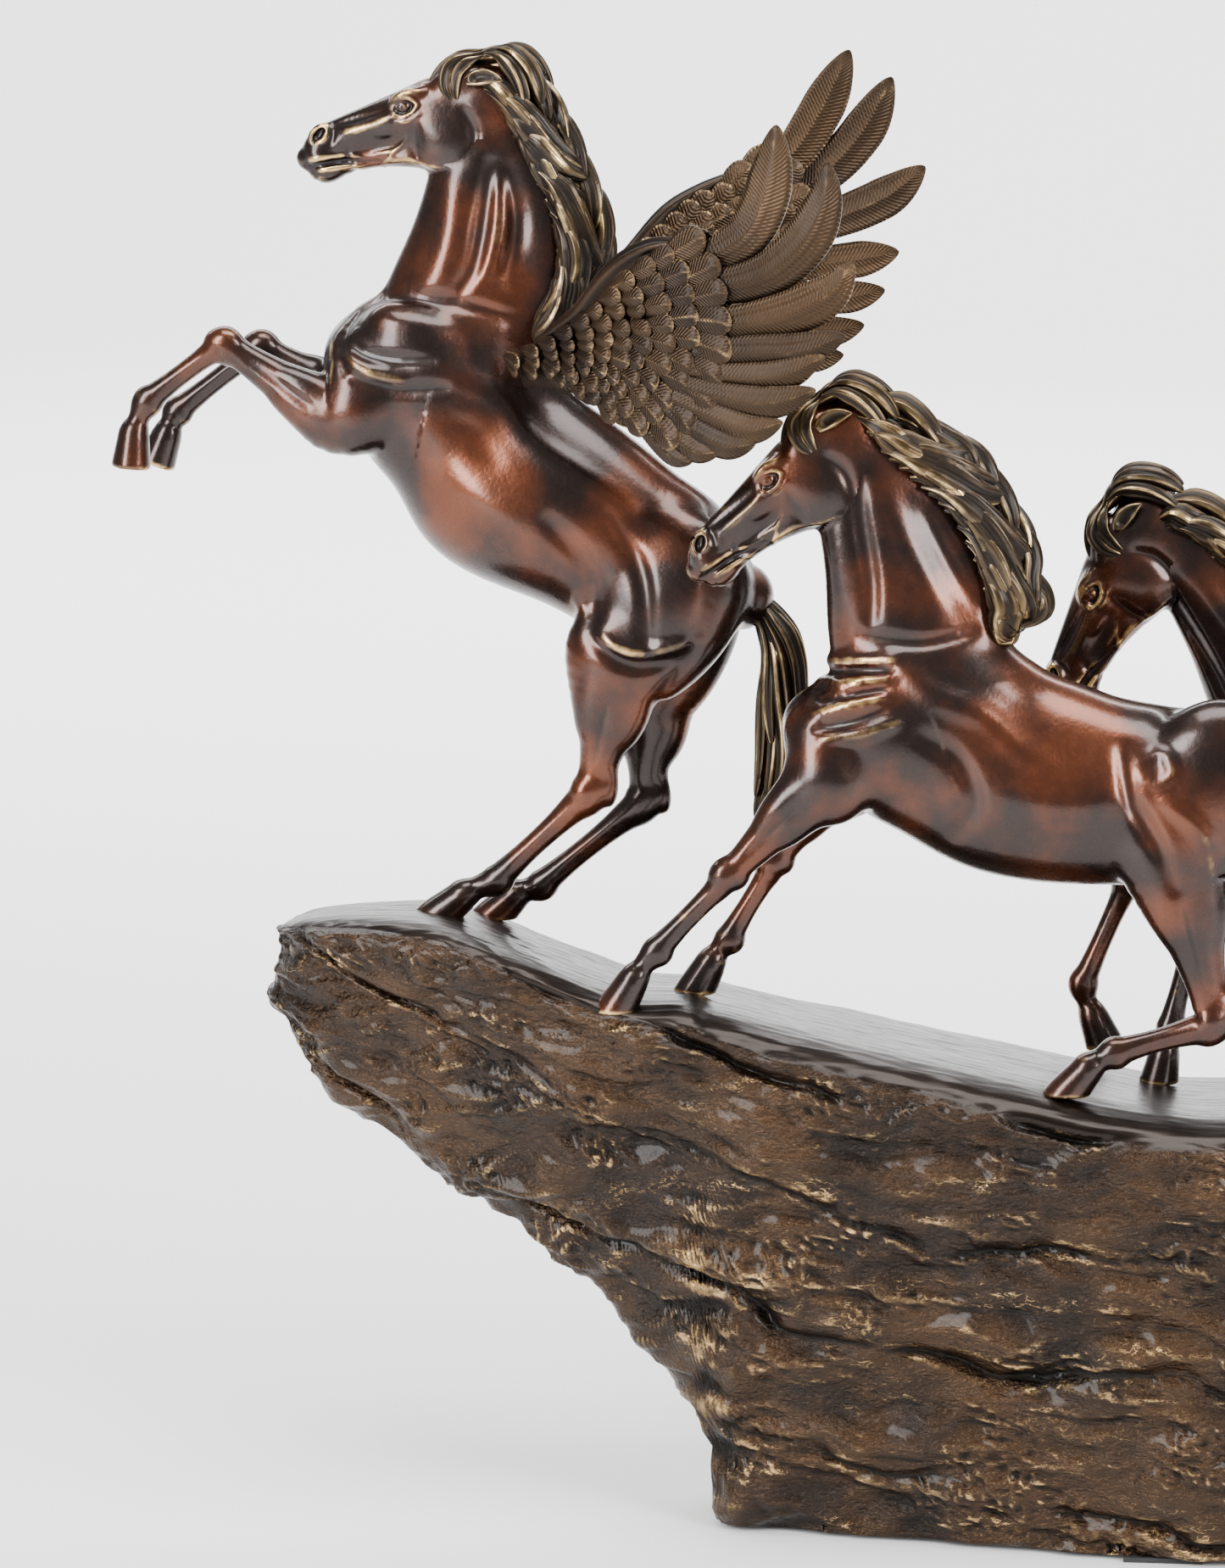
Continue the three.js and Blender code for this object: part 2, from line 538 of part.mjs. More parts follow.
// The rock's panels, cut apart at their welds.
function rockPanels() {
  const above = block([-FAR, -FAR, PAD.height + 0.1], [FAR, FAR, FAR]);
  const shell = rockBody(0, 2, ROCK_SIDE).subtract(rockBody(ROCK_WALL, 1, 4)).intersect(above);
  const [prow, rest] = weldCut(shell, [PANEL_CUTS.prow, 0], [1, 0]);
  const halves = weldCut(rest, [PANEL_CUTS.middle, 0], [1, 0]);
  const panels = { rock_prow: prow };
  const spans = [[PANEL_CUTS.prow, PANEL_CUTS.middle], [PANEL_CUTS.middle, ROCK.at(-1).x]];
  halves.forEach((half, i) => {
    const side = ["left", "right"][i];
    const [from, to] = spans[i].map((x) => [x, rockAt(x).top - PANEL_CUTS.deckDrop]);
    const [walls, deck] = weldCut(half, from, [from[1] - to[1], to[0] - from[0]]);
    panels["rock_deck_" + side] = deck;
    panels["rock_front_" + side] = walls.subtract(block([-FAR, -WELD_GAP / 2, -FAR], [FAR, FAR, FAR]));
    panels["rock_back_" + side] = walls.subtract(block([-FAR, -FAR, -FAR], [FAR, WELD_GAP / 2, FAR]));
  });
  return panels;
}

// Where a horse's own plane stands in the group.
function standing({ x, y, turn }) {
  return new THREE.Matrix4().makeRotationZ(degrees(turn)).setPosition(x, y, 0);
}

function moved(solid, matrix) {
  return solid.transform([...matrix.elements]);
}

// The hardware under one planted hoof: a stud, its nut, and the holes they need.
function hardware(horse, key) {
  const side = key.startsWith("left") ? -1 : 1;
  const track = side * (key.includes("fore") ? FORE_TRACK : HIND_TRACK);
  const [x, z] = horse.legs[key][5];
  const at = new THREE.Vector3(x, track, z).applyMatrix4(standing(horse.stands));
  const heights = [-1, 1].flatMap((i) => [-1, 1].map((j) => [at.x + i * 6, at.y + j * 6]));
  const inner = Math.min(...heights.map(([u, v]) => deckHeight(u, v, ROCK_WALL))) - NUT.drop;
  const low = inner - STUD.below;
  const bore = post(at.x, at.y, inner - FAR / 8, at.z + STUD.inHoof + 1, STUD.radius + STUD.clearance);
  const flange = post(at.x, at.y, inner - NUT.flangeHeight, inner, NUT.flangeRadius, 18);
  const hex = post(at.x, at.y, inner - NUT.height, inner - NUT.flangeHeight / 2, NUT.acrossCorners / 2, 6);
  const spotFace = post(at.x, at.y, low - 4, inner + WELD_GAP, NUT.flangeRadius + 1, 18);
  return {
    bore,
    spotFace,
    stud: post(at.x, at.y, low, at.z + STUD.inHoof, STUD.radius),
    nut: flange.add(hex).subtract(bore),
  };
}

function mesh(name, solid, material) {
  const made = new THREE.Mesh(geometryOf(solid), material);
  made.name = name;
  return made;
}

function finishOf(name) {
  if (/mane|tail/.test(name)) return HAIR_BRONZE;
  if (/wing/.test(name)) return FEATHER_BRONZE;
  return /rock/.test(name) ? ROCK_BRONZE : BRONZE;
}

const group = new THREE.Group();
const solids = rockPanels();
const ground = rockBody(-WELD_GAP, 2, ROCK_SIDE);
const herd = [[PEGASUS, [LEFT_WING, RIGHT_WING]], [FRONT_HORSE, []], [REAR_HORSE, []]];
for (const [horse, wings] of herd) {
  const matrix = standing(horse.stands);
  for (const [name, casting] of Object.entries(horseCastings(horse, wings))) {
    const placed = moved(casting, matrix);
    solids[name] = /leg/.test(name) ? placed.subtract(ground) : placed;
  }
  for (const key of horse.planted) {
    const { bore, spotFace, stud, nut } = hardware(horse, key);
    const legName = horse.name + "_" + key;
    solids[legName] = solids[legName].subtract(bore);
    for (const name of Object.keys(solids).filter((key) => /rock/.test(key))) {
      solids[name] = solids[name].subtract(bore).subtract(spotFace);
    }
    group.add(mesh(legName + "_stud", stud, STEEL), mesh(legName + "_nut", nut, STEEL));
  }
}
PADS.forEach(([x, y, crosswise], i) => {
  const half = crosswise ? [PAD.width / 2, PAD.length / 2] : [PAD.length / 2, PAD.width / 2];
  const pad = block([x - half[0], y - half[1], 0], [x + half[0], y + half[1], PAD.height]);
  group.add(mesh("foot_pad_" + (i + 1), pad, RUBBER));
});
for (const [name, solid] of Object.entries(solids)) group.add(mesh(name, solid, finishOf(name)));

// The origin goes to the middle of the group's box, on the surface that it stands on.
const box = new THREE.Box3().setFromObject(group);
group.position.set(-(box.min.x + box.max.x) / 2, -(box.min.y + box.max.y) / 2, -box.min.z);

export default group;
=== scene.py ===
"""Looks of a cast bronze group: a rearing winged horse and two galloping horses on an overhanging rock.

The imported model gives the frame. Each horse is sculpted as a field of signed distance in its own middle
plane, in millimetres, meshed, parted at its welds and set on its place in the frame. Hair and feathers are
swept surfaces, and the rock is one displaced shell that is parted into its panels.
"""

import logging
import math
from dataclasses import dataclass, field
from enum import Enum
from typing import Iterable, Sequence

import bpy
import numpy as np
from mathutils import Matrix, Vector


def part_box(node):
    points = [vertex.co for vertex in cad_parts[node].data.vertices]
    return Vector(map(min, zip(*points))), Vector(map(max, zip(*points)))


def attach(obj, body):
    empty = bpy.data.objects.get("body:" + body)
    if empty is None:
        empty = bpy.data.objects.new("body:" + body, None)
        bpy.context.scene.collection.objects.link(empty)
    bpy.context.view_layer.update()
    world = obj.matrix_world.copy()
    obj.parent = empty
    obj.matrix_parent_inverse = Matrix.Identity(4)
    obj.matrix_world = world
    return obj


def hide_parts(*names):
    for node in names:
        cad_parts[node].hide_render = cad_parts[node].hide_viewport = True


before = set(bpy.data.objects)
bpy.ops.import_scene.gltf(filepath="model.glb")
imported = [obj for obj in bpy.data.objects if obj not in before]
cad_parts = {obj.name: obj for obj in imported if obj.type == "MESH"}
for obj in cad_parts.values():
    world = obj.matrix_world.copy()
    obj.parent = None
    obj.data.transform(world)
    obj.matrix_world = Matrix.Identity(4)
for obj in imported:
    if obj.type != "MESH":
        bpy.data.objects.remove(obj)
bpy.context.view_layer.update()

import openvdb
from mathutils import Vector

LOG = logging.getLogger("bronze_group")
MM = 0.001
Array = np.ndarray
Point = tuple[float, ...]
Line = Sequence[Point]

VOXEL = 1.5
HEAD_VOXEL = 0.8
FORE_TRACK = 26.0
HIND_TRACK = 27.0
HEAD_LENGTH = 120.0
NECK_WELD = 0.42
THROAT_WELD = 0.86
LEG_WELD = 0.42


class Side(Enum):
    """A side of a horse, by its sign along Y."""

    LEFT = -1
    RIGHT = 1


class Slot(Enum):
    """The record's material slots."""

    BODY = "body_bronze"
    HAIR = "hair_bronze"
    FEATHER = "feather_bronze"
    ROCK = "rock_bronze"
    STEEL = "hardware_steel"
    RUBBER = "pad_rubber"


def smooth(value: Array | float, low: float, high: float) -> Array:
    """A smooth step of `value` from 0 at `low` to 1 at `high`."""
    t = np.clip((np.asarray(value, float) - low) / (high - low), 0, 1)
    return t * t * (3 - 2 * t)


def spline(points: Line | Array, samples: int = 8) -> Array:
    """A smooth line through points of any dimension.

    Args:
        points: the points, N by D.
        samples: how many steps each span gets.

    Returns:
        The line's points, evenly spread between each pair.
    """
    p = np.asarray(points, float)
    ends = np.vstack([2 * p[0] - p[1], p, 2 * p[-1] - p[-2]])
    t = np.linspace(0, 1, samples, endpoint=False)[:, None]
    spans = []
    for a, b, c, d in zip(ends[:-3], ends[1:-2], ends[2:-1], ends[3:]):
        spans.append(
            0.5 * (2 * b + (c - a) * t + (2 * a - 5 * b + 4 * c - d) * t**2 + (3 * b - a - 3 * c + d) * t**3)
        )
    return np.vstack([*spans, p[-1:]])


def resample(line: Array, count: int) -> Array:
    """`count` points evenly spaced along a line."""
    steps = np.r_[0, np.cumsum(np.linalg.norm(np.diff(line[:, :3], axis=0), axis=1))]
    at = np.linspace(0, steps[-1], count)
    return np.stack([np.interp(at, steps, column) for column in line.T], axis=1)


def in_plane(points: Line, samples: int, count: int) -> Array:
    """A smooth line in a horse's middle plane as `count` points, from its x and z."""
    return resample(np.insert(spline(points, samples), 1, 0, axis=1), count)


def unit(vectors: Array) -> Array:
    """Vectors scaled to length one."""
    return vectors / np.maximum(np.linalg.norm(vectors, axis=-1, keepdims=True), 1e-9)


class Grain:
    """Smooth seeded noise in three dimensions, from about -1 to 1."""

    def __init__(self, seed: int) -> None:
        """Draws the noise's gradients from `seed`."""
        rng = np.random.default_rng(seed)
        self.order = np.tile(rng.permutation(256), 3)
        self.gradients = unit(rng.normal(size=(256, 3)))

    def at(self, points: Array, size: float | Sequence[float]) -> Array:
        """The noise at points, N by 3.

        Args:
            points: where to read it.
            size: the size of its lumps, one number or one for each axis.

        Returns:
            One value for each point.
        """
        p = np.asarray(points, float) / np.asarray(size, float)
        cell = np.floor(p).astype(int)
        local = p - cell
        ease = local**3 * (local * (local * 6 - 15) + 10)
        cell &= 255
        total = np.zeros(len(p))
        for corner in np.ndindex(2, 2, 2):
            i, j, k = (cell + corner).T
            gradient = self.gradients[self.order[self.order[self.order[i] + j] + k]]
            weight = np.prod(np.where(corner, ease, 1 - ease), axis=1)
            total += weight * ((local - corner) * gradient).sum(axis=1)
        return total * 1.7

    def layers(self, points: Array, size: float | Sequence[float], count: int) -> Array:
        """Noise in `count` layers, each half as big and half as strong as the one before."""
        scale = np.asarray(size, float)
        return sum(self.at(points + 31.7 * i, scale / 2**i) / 2**i for i in range(count))


@dataclass
class Surface:
    """A mesh in millimetres with a normal and named values for each vertex."""

    points: Array
    faces: Array
    normals: Array | None = None
    values: dict[str, Array] = field(default_factory=dict)

    def part(self, keep: Array) -> "Surface":
        """The faces picked by the mask `keep`, with the vertices that they use.

        Args:
            keep: a truth value for each face.

        Returns:
            The smaller surface.
        """
        faces = self.faces[keep]
        used, inverse = np.unique(faces, return_inverse=True)
        return Surface(
            self.points[used],
            inverse.reshape(faces.shape),
            None if self.normals is None else self.normals[used],
            {name: value[used] for name, value in self.values.items()},
        )

    @staticmethod
    def joined(surfaces: Iterable["Surface"]) -> "Surface":
        """Several surfaces as one, which keeps the values that they all have.

        Args:
            surfaces: the surfaces.

        Returns:
            The joined surface.
        """
        parts = list(surfaces)
        starts = np.cumsum([0, *(len(s.points) for s in parts[:-1])])
        names = set.intersection(*(set(s.values) for s in parts))
        normals = None if any(s.normals is None for s in parts) else np.vstack([s.normals for s in parts])
        return Surface(
            np.vstack([s.points for s in parts]),
            np.vstack([s.faces + start for s, start in zip(parts, starts)]),
            normals,
            {name: np.concatenate([s.values[name] for s in parts]) for name in sorted(names)},
        )


class Sculpt:
    """A body as a field of signed distance on a grid, in millimetres, negative inside."""

    def __init__(self, low: Point, high: Point, voxel: float) -> None:
        """Makes an empty field over a box from `low` to `high`.

        Args:
            low: the box's lowest corner.
            high: its highest corner.
            voxel: the grid's step.
        """
        self.voxel = voxel
        self.low = np.array(low, float)
        counts = np.ceil((np.array(high) - self.low) / voxel).astype(int) + 1
        self.axes = [self.low[i] + voxel * np.arange(counts[i]) for i in range(3)]
        self.field = np.full(counts, 60.0, np.float32)

    def window(self, low: Sequence[float], high: Sequence[float]) -> tuple[tuple[slice, ...], list[Array]]:
        """The part of the grid between two corners.

        Args:
            low: its lowest corner.
            high: its highest corner.

        Returns:
            The slices, and the coordinates along each axis, shaped to broadcast.
        """
        slices, places = [], []
        for axis, a, b in zip(self.axes, low, high):
            start = int(np.clip(np.searchsorted(axis, a), 0, len(axis) - 1))
            stop = int(np.clip(np.searchsorted(axis, b), start + 1, len(axis)))
            slices.append(slice(start, stop))
            places.append(axis[start:stop].astype(np.float32))
        x, y, z = places
        return tuple(slices), [x[:, None, None], y[None, :, None], z[None, None, :]]

    def join(self, where: tuple[slice, ...], other: Array, blend: float) -> None:
        """Adds a body, with a fillet of about `blend` where it meets what is there."""
        here = self.field[where]
        h = np.clip(0.5 + 0.5 * (here - other) / blend, 0, 1)
        self.field[where] = here * (1 - h) + other * h - blend * h * (1 - h)

    def add_limb(self, stations: Array, blend: float, samples: int = 6) -> None:
        """Adds a body of oval section along a line in the horse's plane.

        Args:
            stations: rows of x, y, z, half depth, half width, and how much narrower one side is.
            blend: the fillet where it joins.
            samples: steps for each span of the line.
        """
        line = spline(stations, samples)
        reach = line[:, 3].max() + blend + 4 * self.voxel
        wide = line[:, 4].max() + blend + 4 * self.voxel
        low = [line[:, 0].min() - reach, line[:, 1].min() - wide, line[:, 2].min() - reach]
        high = [line[:, 0].max() + reach, line[:, 1].max() + wide, line[:, 2].max() + reach]
        where, (x, y, z) = self.window(low, high)
        flat_x, flat_z = x[:, 0, :], z[:, 0, :]
        nearest = np.full(np.broadcast_shapes(flat_x.shape, flat_z.shape), 1e9, np.float32)
        along, side = np.zeros_like(nearest), np.zeros_like(nearest)
        for i in range(len(line) - 1):
            (ax, az), (bx, bz) = line[i, [0, 2]], line[i + 1, [0, 2]]
            dx, dz = bx - ax, bz - az
            t = np.clip(((flat_x - ax) * dx + (flat_z - az) * dz) / (dx * dx + dz * dz + 1e-9), 0, 1)
            px, pz = flat_x - ax - t * dx, flat_z - az - t * dz
            gap = np.sqrt(px * px + pz * pz)
            closer = gap < nearest
            nearest = np.where(closer, gap, nearest)
            along = np.where(closer, i + t, along)
            side = np.where(closer, np.sign(dx * pz - dz * px), side)
        index = np.arange(len(line))
        middle, tall, width, egg = (
            np.interp(along, index, line[:, k]).astype(np.float32) for k in (1, 3, 4, 5)
        )
        rise = np.clip(side * nearest / tall, -1, 1)
        width = width * (1 - egg * rise)
        gap, tall, width, middle = (a[:, None, :] for a in (nearest, tall, width, middle))
        dy = y - middle
        k0 = np.sqrt((gap / tall) ** 2 + (dy / width) ** 2)
        k1 = np.sqrt((gap / tall**2) ** 2 + (dy / width**2) ** 2)
        self.join(where, (k0 * (k0 - 1) / np.maximum(k1, 1e-4)).astype(np.float32), blend)

    def ball(
        self, centre: Point, radii: Point, tilt: float, margin: float
    ) -> tuple[tuple[slice, ...], Array]:
        """The signed distance to an ellipsoid, near it.

        Args:
            centre: its middle.
            radii: its half sizes, before it is tilted in the horse's plane.
            tilt: degrees from +X towards +Z.
            margin: how far round it the distance is wanted.

        Returns:
            The slices of the grid and the distance there.
        """
        reach = max(radii) + 2.2 * margin
        where, (x, y, z) = self.window([c - reach for c in centre], [c + reach for c in centre])
        cos, sin = math.cos(math.radians(tilt)), math.sin(math.radians(tilt))
        u = (x - centre[0]) * cos + (z - centre[2]) * sin
        w = (z - centre[2]) * cos - (x - centre[0]) * sin
        v = y - centre[1]
        a, b, c = radii
        k0 = np.sqrt((u / a) ** 2 + (v / b) ** 2 + (w / c) ** 2)
        k1 = np.sqrt((u / a**2) ** 2 + (v / b**2) ** 2 + (w / c**2) ** 2)
        return where, (k0 * (k0 - 1) / np.maximum(k1, 1e-4)).astype(np.float32)

    def add_ball(self, centre: Point, radii: Point, tilt: float = 0, blend: float = 10) -> None:
        """Adds an ellipsoid, such as a muscle."""
        where, distance = self.ball(centre, radii, tilt, blend + 3 * self.voxel)
        self.join(where, distance, blend)

    def add_pair(self, centre: Point, radii: Point, tilt: float = 0, blend: float = 10) -> None:
        """Adds the same ellipsoid on both sides of the horse."""
        for sign in (-1, 1):
            self.add_ball((centre[0], sign * centre[1], centre[2]), radii, tilt, blend)

    def hollow(self, centre: Point, radii: Point, tilt: float = 0, blend: float = 3) -> None:
        """Takes an ellipsoid away, with soft edges, on the side of its centre.

        Args:
            centre: its middle.
            radii: its half sizes.
            tilt: degrees from +X towards +Z.
            blend: how soft its edges are.
        """
        where, distance = self.ball(centre, radii, tilt, blend + 3 * self.voxel)
        here = self.field[where]
        other = -distance
        h = np.clip(0.5 - 0.5 * (here - other) / blend, 0, 1)
        self.field[where] = here * (1 - h) + other * h + blend * h * (1 - h)

    def cut(self, origin: Point, normal: Point, reach: float) -> None:
        """Cuts away what lies beyond a plane, within `reach` of a point on it.

        Args:
            origin: the point on the plane.
            normal: the way that the removed side lies.
            reach: how far the cut goes.
        """
        where, (x, y, z) = self.window([c - reach for c in origin], [c + reach for c in origin])
        n = unit(np.array(normal, float))
        plane = (x - origin[0]) * n[0] + (y - origin[1]) * n[1] + (z - origin[2]) * n[2]
        self.field[where] = np.maximum(self.field[where], plane.astype(np.float32))

    def skin(self, x: float, z: float, side: Side) -> float:
        """Where the surface is at x and z on one side, along Y.

        Args:
            x: the place along X.
            z: the place along Z.
            side: the side of the horse.

        Returns:
            The Y of the surface.
        """
        i = int(np.clip(round((x - self.low[0]) / self.voxel), 0, self.field.shape[0] - 1))
        k = int(np.clip(round((z - self.low[2]) / self.voxel), 0, self.field.shape[2] - 1))
        column = self.field[i, :, k]
        inside = np.nonzero(column < 0)[0]
        if len(inside) == 0:
            return float(self.axes[1][int(np.argmin(column))])
        j = inside[0] if side is Side.LEFT else inside[-1]
        step = side.value
        out = int(np.clip(j + step, 0, len(column) - 1))
        share = column[j] / (column[j] - column[out] + 1e-6) if out != j else 0
        return float(self.axes[1][j] + step * share * self.voxel)

    def stroke(self, points: Line, width: float, height: float, side: Side) -> None:
        """Raises or, with a negative height, sinks the surface along a line seen from the side.

        Args:
            points: the line's x and z.
            width: its half width.
            height: how far the surface moves.
            side: the side of the horse.
        """
        line = spline(points, 12)
        length = np.linalg.norm(np.diff(line, axis=0), axis=1).sum()
        line = resample(line, max(3, int(length / (0.8 * self.voxel))))
        spots = np.array([(x, self.skin(x, z, side), z) for x, z in line])
        reach = 2.3 * width
        where, _ = self.window(spots.min(0) - reach, spots.max(0) + reach)
        mask = np.zeros(self.field[where].shape, np.float32)
        start = [s.start for s in where]
        for share, spot in zip(np.linspace(0, 1, len(spots)), spots):
            near, (u, v, w) = self.window(spot - reach, spot + reach)
            local = tuple(slice(s.start - a, s.stop - a) for s, a in zip(near, start))
            strength = math.sqrt(math.sin(math.pi * (0.04 + 0.92 * share)))
            far = (u - spot[0]) ** 2 + (v - spot[1]) ** 2 + (w - spot[2]) ** 2
            mask[local] = np.maximum(mask[local], strength * np.exp(-far / width**2))
        self.field[where] -= height * mask

    def strokes(self, points: Line, width: float, height: float) -> None:
        """The same stroke on both sides."""
        for side in Side:
            self.stroke(points, width, height, side)

    def read(self, points: Array) -> Array:
        """The field at points, between the grid's own.

        Args:
            points: N by 3.

        Returns:
            A distance for each point.
        """
        p = (points - self.low) / self.voxel
        top = np.array(self.field.shape) - 2
        cell = np.clip(np.floor(p).astype(int), 0, top)
        t = np.clip(p - cell, 0, 1)
        total = np.zeros(len(p))
        for corner in np.ndindex(2, 2, 2):
            i, j, k = (cell + corner).T
            total += np.prod(np.where(corner, t, 1 - t), axis=1) * self.field[i, j, k]
        return total

    def surface(self) -> Surface:
        """The body's skin, with `edge` and `form`, how far it bulges over about 3 and 9 mm.

        Returns:
            The skin as a surface.
        """
        band = 3 * self.voxel
        grid = openvdb.FloatGrid(band)
        grid.copyFromArray(np.clip(self.field, -band, band).astype(np.float32), tolerance=0.0)
        points, _, faces = grid.convertToPolygons(isovalue=0.0, adaptivity=0.0)
        points = points.astype(float) * self.voxel + self.low
        step = self.voxel * np.eye(3)
        normals = unit(np.stack([self.read(points + s) - self.read(points - s) for s in step], axis=1))
        around = unit(np.array([c for c in np.ndindex(3, 3, 3) if c != (1, 1, 1)], float) - 1)
        values = {}
        for name, radius in (("edge", 3.0), ("form", 9.0)):
            mean = sum(self.read(points + radius * way) for way in around) / len(around)
            values[name] = mean / radius
        return Surface(points, faces.astype(int), normals, values)


@dataclass(frozen=True)
class Place:
    """Where a horse's own plane stands in the group, in millimetres and degrees."""

    x: float = 0.0
    y: float = 0.0
    turn: float = 0.0

    def apply(self, points: Array, shift: Array) -> Array:
        """Points moved from the horse's own frame to the model's frame."""
        return self.turned(points) + np.array([self.x, self.y, 0]) + shift

    def turned(self, vectors: Array) -> Array:
        """Directions turned from the horse's own frame to the model's frame."""
        cos, sin = math.cos(math.radians(self.turn)), math.sin(math.radians(self.turn))
        return vectors @ np.array([[cos, sin, 0], [-sin, cos, 0], [0, 0, 1]])


@dataclass(frozen=True)
class Leg:
    """A leg.

    Attributes:
        key: its name, which says its side and whether it is a foreleg.
        joints: shoulder or hip, elbow or stifle, knee or hock, fetlock, coronet and sole, as x and z.
        planted: whether it stands on the rock.
    """

    key: str
    joints: Line
    planted: bool = True

    @property
    def side(self) -> Side:
        """The side of the horse that the leg is on."""
        return Side.LEFT if self.key.startswith("left") else Side.RIGHT

    @property
    def fore(self) -> bool:
        """Whether this is a foreleg."""
        return "fore" in self.key

    @property
    def track(self) -> float:
        """The Y of the leg."""
        return self.side.value * (FORE_TRACK if self.fore else HIND_TRACK)

    def at(self, bone: int, share: float, behind: float = 0, out: float = 0) -> tuple[float, float, float]:
        """A point near a bone.

        Args:
            bone: the joint that the bone starts from.
            share: how far along the bone.
            behind: millimetres behind it.
            out: millimetres outward from the leg's own plane.

        Returns:
            The point's x, y and z.
        """
        a, b = np.array(self.joints[bone], float), np.array(self.joints[bone + 1], float)
        along = unit(b - a)
        x, z = a + (b - a) * share + behind * np.array([-along[1], along[0]])
        return float(x), self.track + self.side.value * out, float(z)

    def tilt(self, bone: int) -> float:
        """The bone's slope in degrees from +X towards +Z."""
        (ax, az), (bx, bz) = self.joints[bone : bone + 2]
        return math.degrees(math.atan2(bz - az, bx - ax))

    def stations(self, girths: Line) -> Array:
        """The leg's sections: x, y, z, half depth, half width and egg for each girth.

        Args:
            girths: rows of bone, share along it, half depth, half width, shift inward and shift back.

        Returns:
            A row for each girth.
        """
        rows = []
        for bone, share, tall, wide, inward, behind in girths:
            x, _, z = self.at(int(bone), share, behind)
            rows.append((x, self.track - self.side.value * inward, z, tall, wide, 0))
        return np.array(rows, float)


@dataclass(frozen=True)
class Girths:
    """Girths of the three horses, in millimetres.

    Attributes:
        torso: share along the spine, half height, half width and egg.
        neck: the same along the crest.
        head: share along the head, drop, half height, half width and egg.
        jaw: the same for the jaw.
        foreleg: bone, share along it, half depth, half width, shift inward and shift back.
        hindleg: the same for a hind leg.
    """

    torso: Line = (
        (0.05, 22, 19, 0), (0.1, 34, 27, 0), (0.2, 48, 34, 0.05), (0.36, 56, 38, 0.12), (0.48, 56, 40, 0.1),
        (0.6, 54, 40, 0.05), (0.72, 52, 39, 0), (0.84, 46, 36, 0), (0.92, 32, 28, 0), (0.96, 20, 20, 0),
    )
    neck: Line = (
        (0, 54, 29, 0.1), (0.3, 45, 23, 0), (0.55, 35.5, 19, -0.1), (0.8, 29, 16, -0.1), (1, 23, 14, 0),
    )
    head: Line = (
        (-0.06, 1, 11, 9, 0), (0.06, 5, 22, 14, 0.1), (0.2, 5.5, 25, 15, 0.1), (0.36, 3.5, 23.5, 15.5, 0.1),
        (0.52, 1, 19.5, 13.5, 0.15), (0.68, -1, 15.5, 11, 0.1), (0.84, -2.5, 12.5, 10, 0),
        (0.95, -0.5, 11.5, 9.6, 0), (1, 0.5, 7.5, 7, 0),
    )
    jaw: Line = (
        (0.16, 22, 15, 12, 0), (0.34, 24, 12, 13, 0), (0.5, 18.5, 8.5, 10.5, 0), (0.66, 13.5, 6.5, 8.4, 0),
        (0.82, 11.5, 5.6, 7.4, 0), (0.94, 12, 6, 7.6, 0), (0.985, 10.5, 4.2, 5.6, 0),
    )
    foreleg: Line = (
        (0, 0, 28, 14, 5, 0), (0, 0.5, 29, 17, 4, 0), (1, 0, 21, 14, 1, 0), (1, 0.3, 15, 11.6, 0, 0),
        (1, 0.55, 11.5, 9.2, 0, 0), (1, 0.8, 9, 7.6, 0, 0), (1, 0.93, 9.6, 8.6, 0, 0),
        (2, 0.02, 9.6, 8.8, 0, -0.4), (2, 0.14, 7.6, 7, 0, 0.6), (2, 0.3, 6.4, 5.6, 0, 0.6),
        (2, 0.6, 6.2, 5.4, 0, 0.6), (2, 0.85, 7.2, 6.4, 0, 0.8), (3, 0, 8.6, 7.2, 0, 1),
        (3, 0.5, 6.4, 6.2, 0, 0), (3, 0.8, 7.6, 7.6, 0, 0), (4, 0, 8.8, 8.6, 0, 0),
    )
    hindleg: Line = (
        (0, 0, 35, 16, 6, 0), (0, 0.55, 39, 18, 4, 0), (1, 0, 30, 16, 1, 0), (1, 0.35, 20, 13, 0, 1),
        (1, 0.6, 14, 10, 0, 1), (1, 0.82, 11, 8, 0, 1), (1, 0.95, 12.5, 9, 0, 1), (2, 0.06, 11.5, 9, 0, 1),
        (2, 0.2, 8.8, 7.4, 0, 0.6), (2, 0.4, 7.2, 6.2, 0, 0.6), (2, 0.65, 6.8, 6, 0, 0.6),
        (2, 0.87, 7.8, 7, 0, 0.8), (3, 0, 9.4, 7.8, 0, 1), (3, 0.5, 7, 6.8, 0, 0),
        (3, 0.8, 8.2, 8.2, 0, 0), (4, 0, 9.4, 9, 0, 0),
    )


@dataclass(frozen=True)
class Stroke:
    """A line drawn on a horse's side: its x and z, half width, and how far it raises the surface."""

    points: Line
    width: float
    height: float


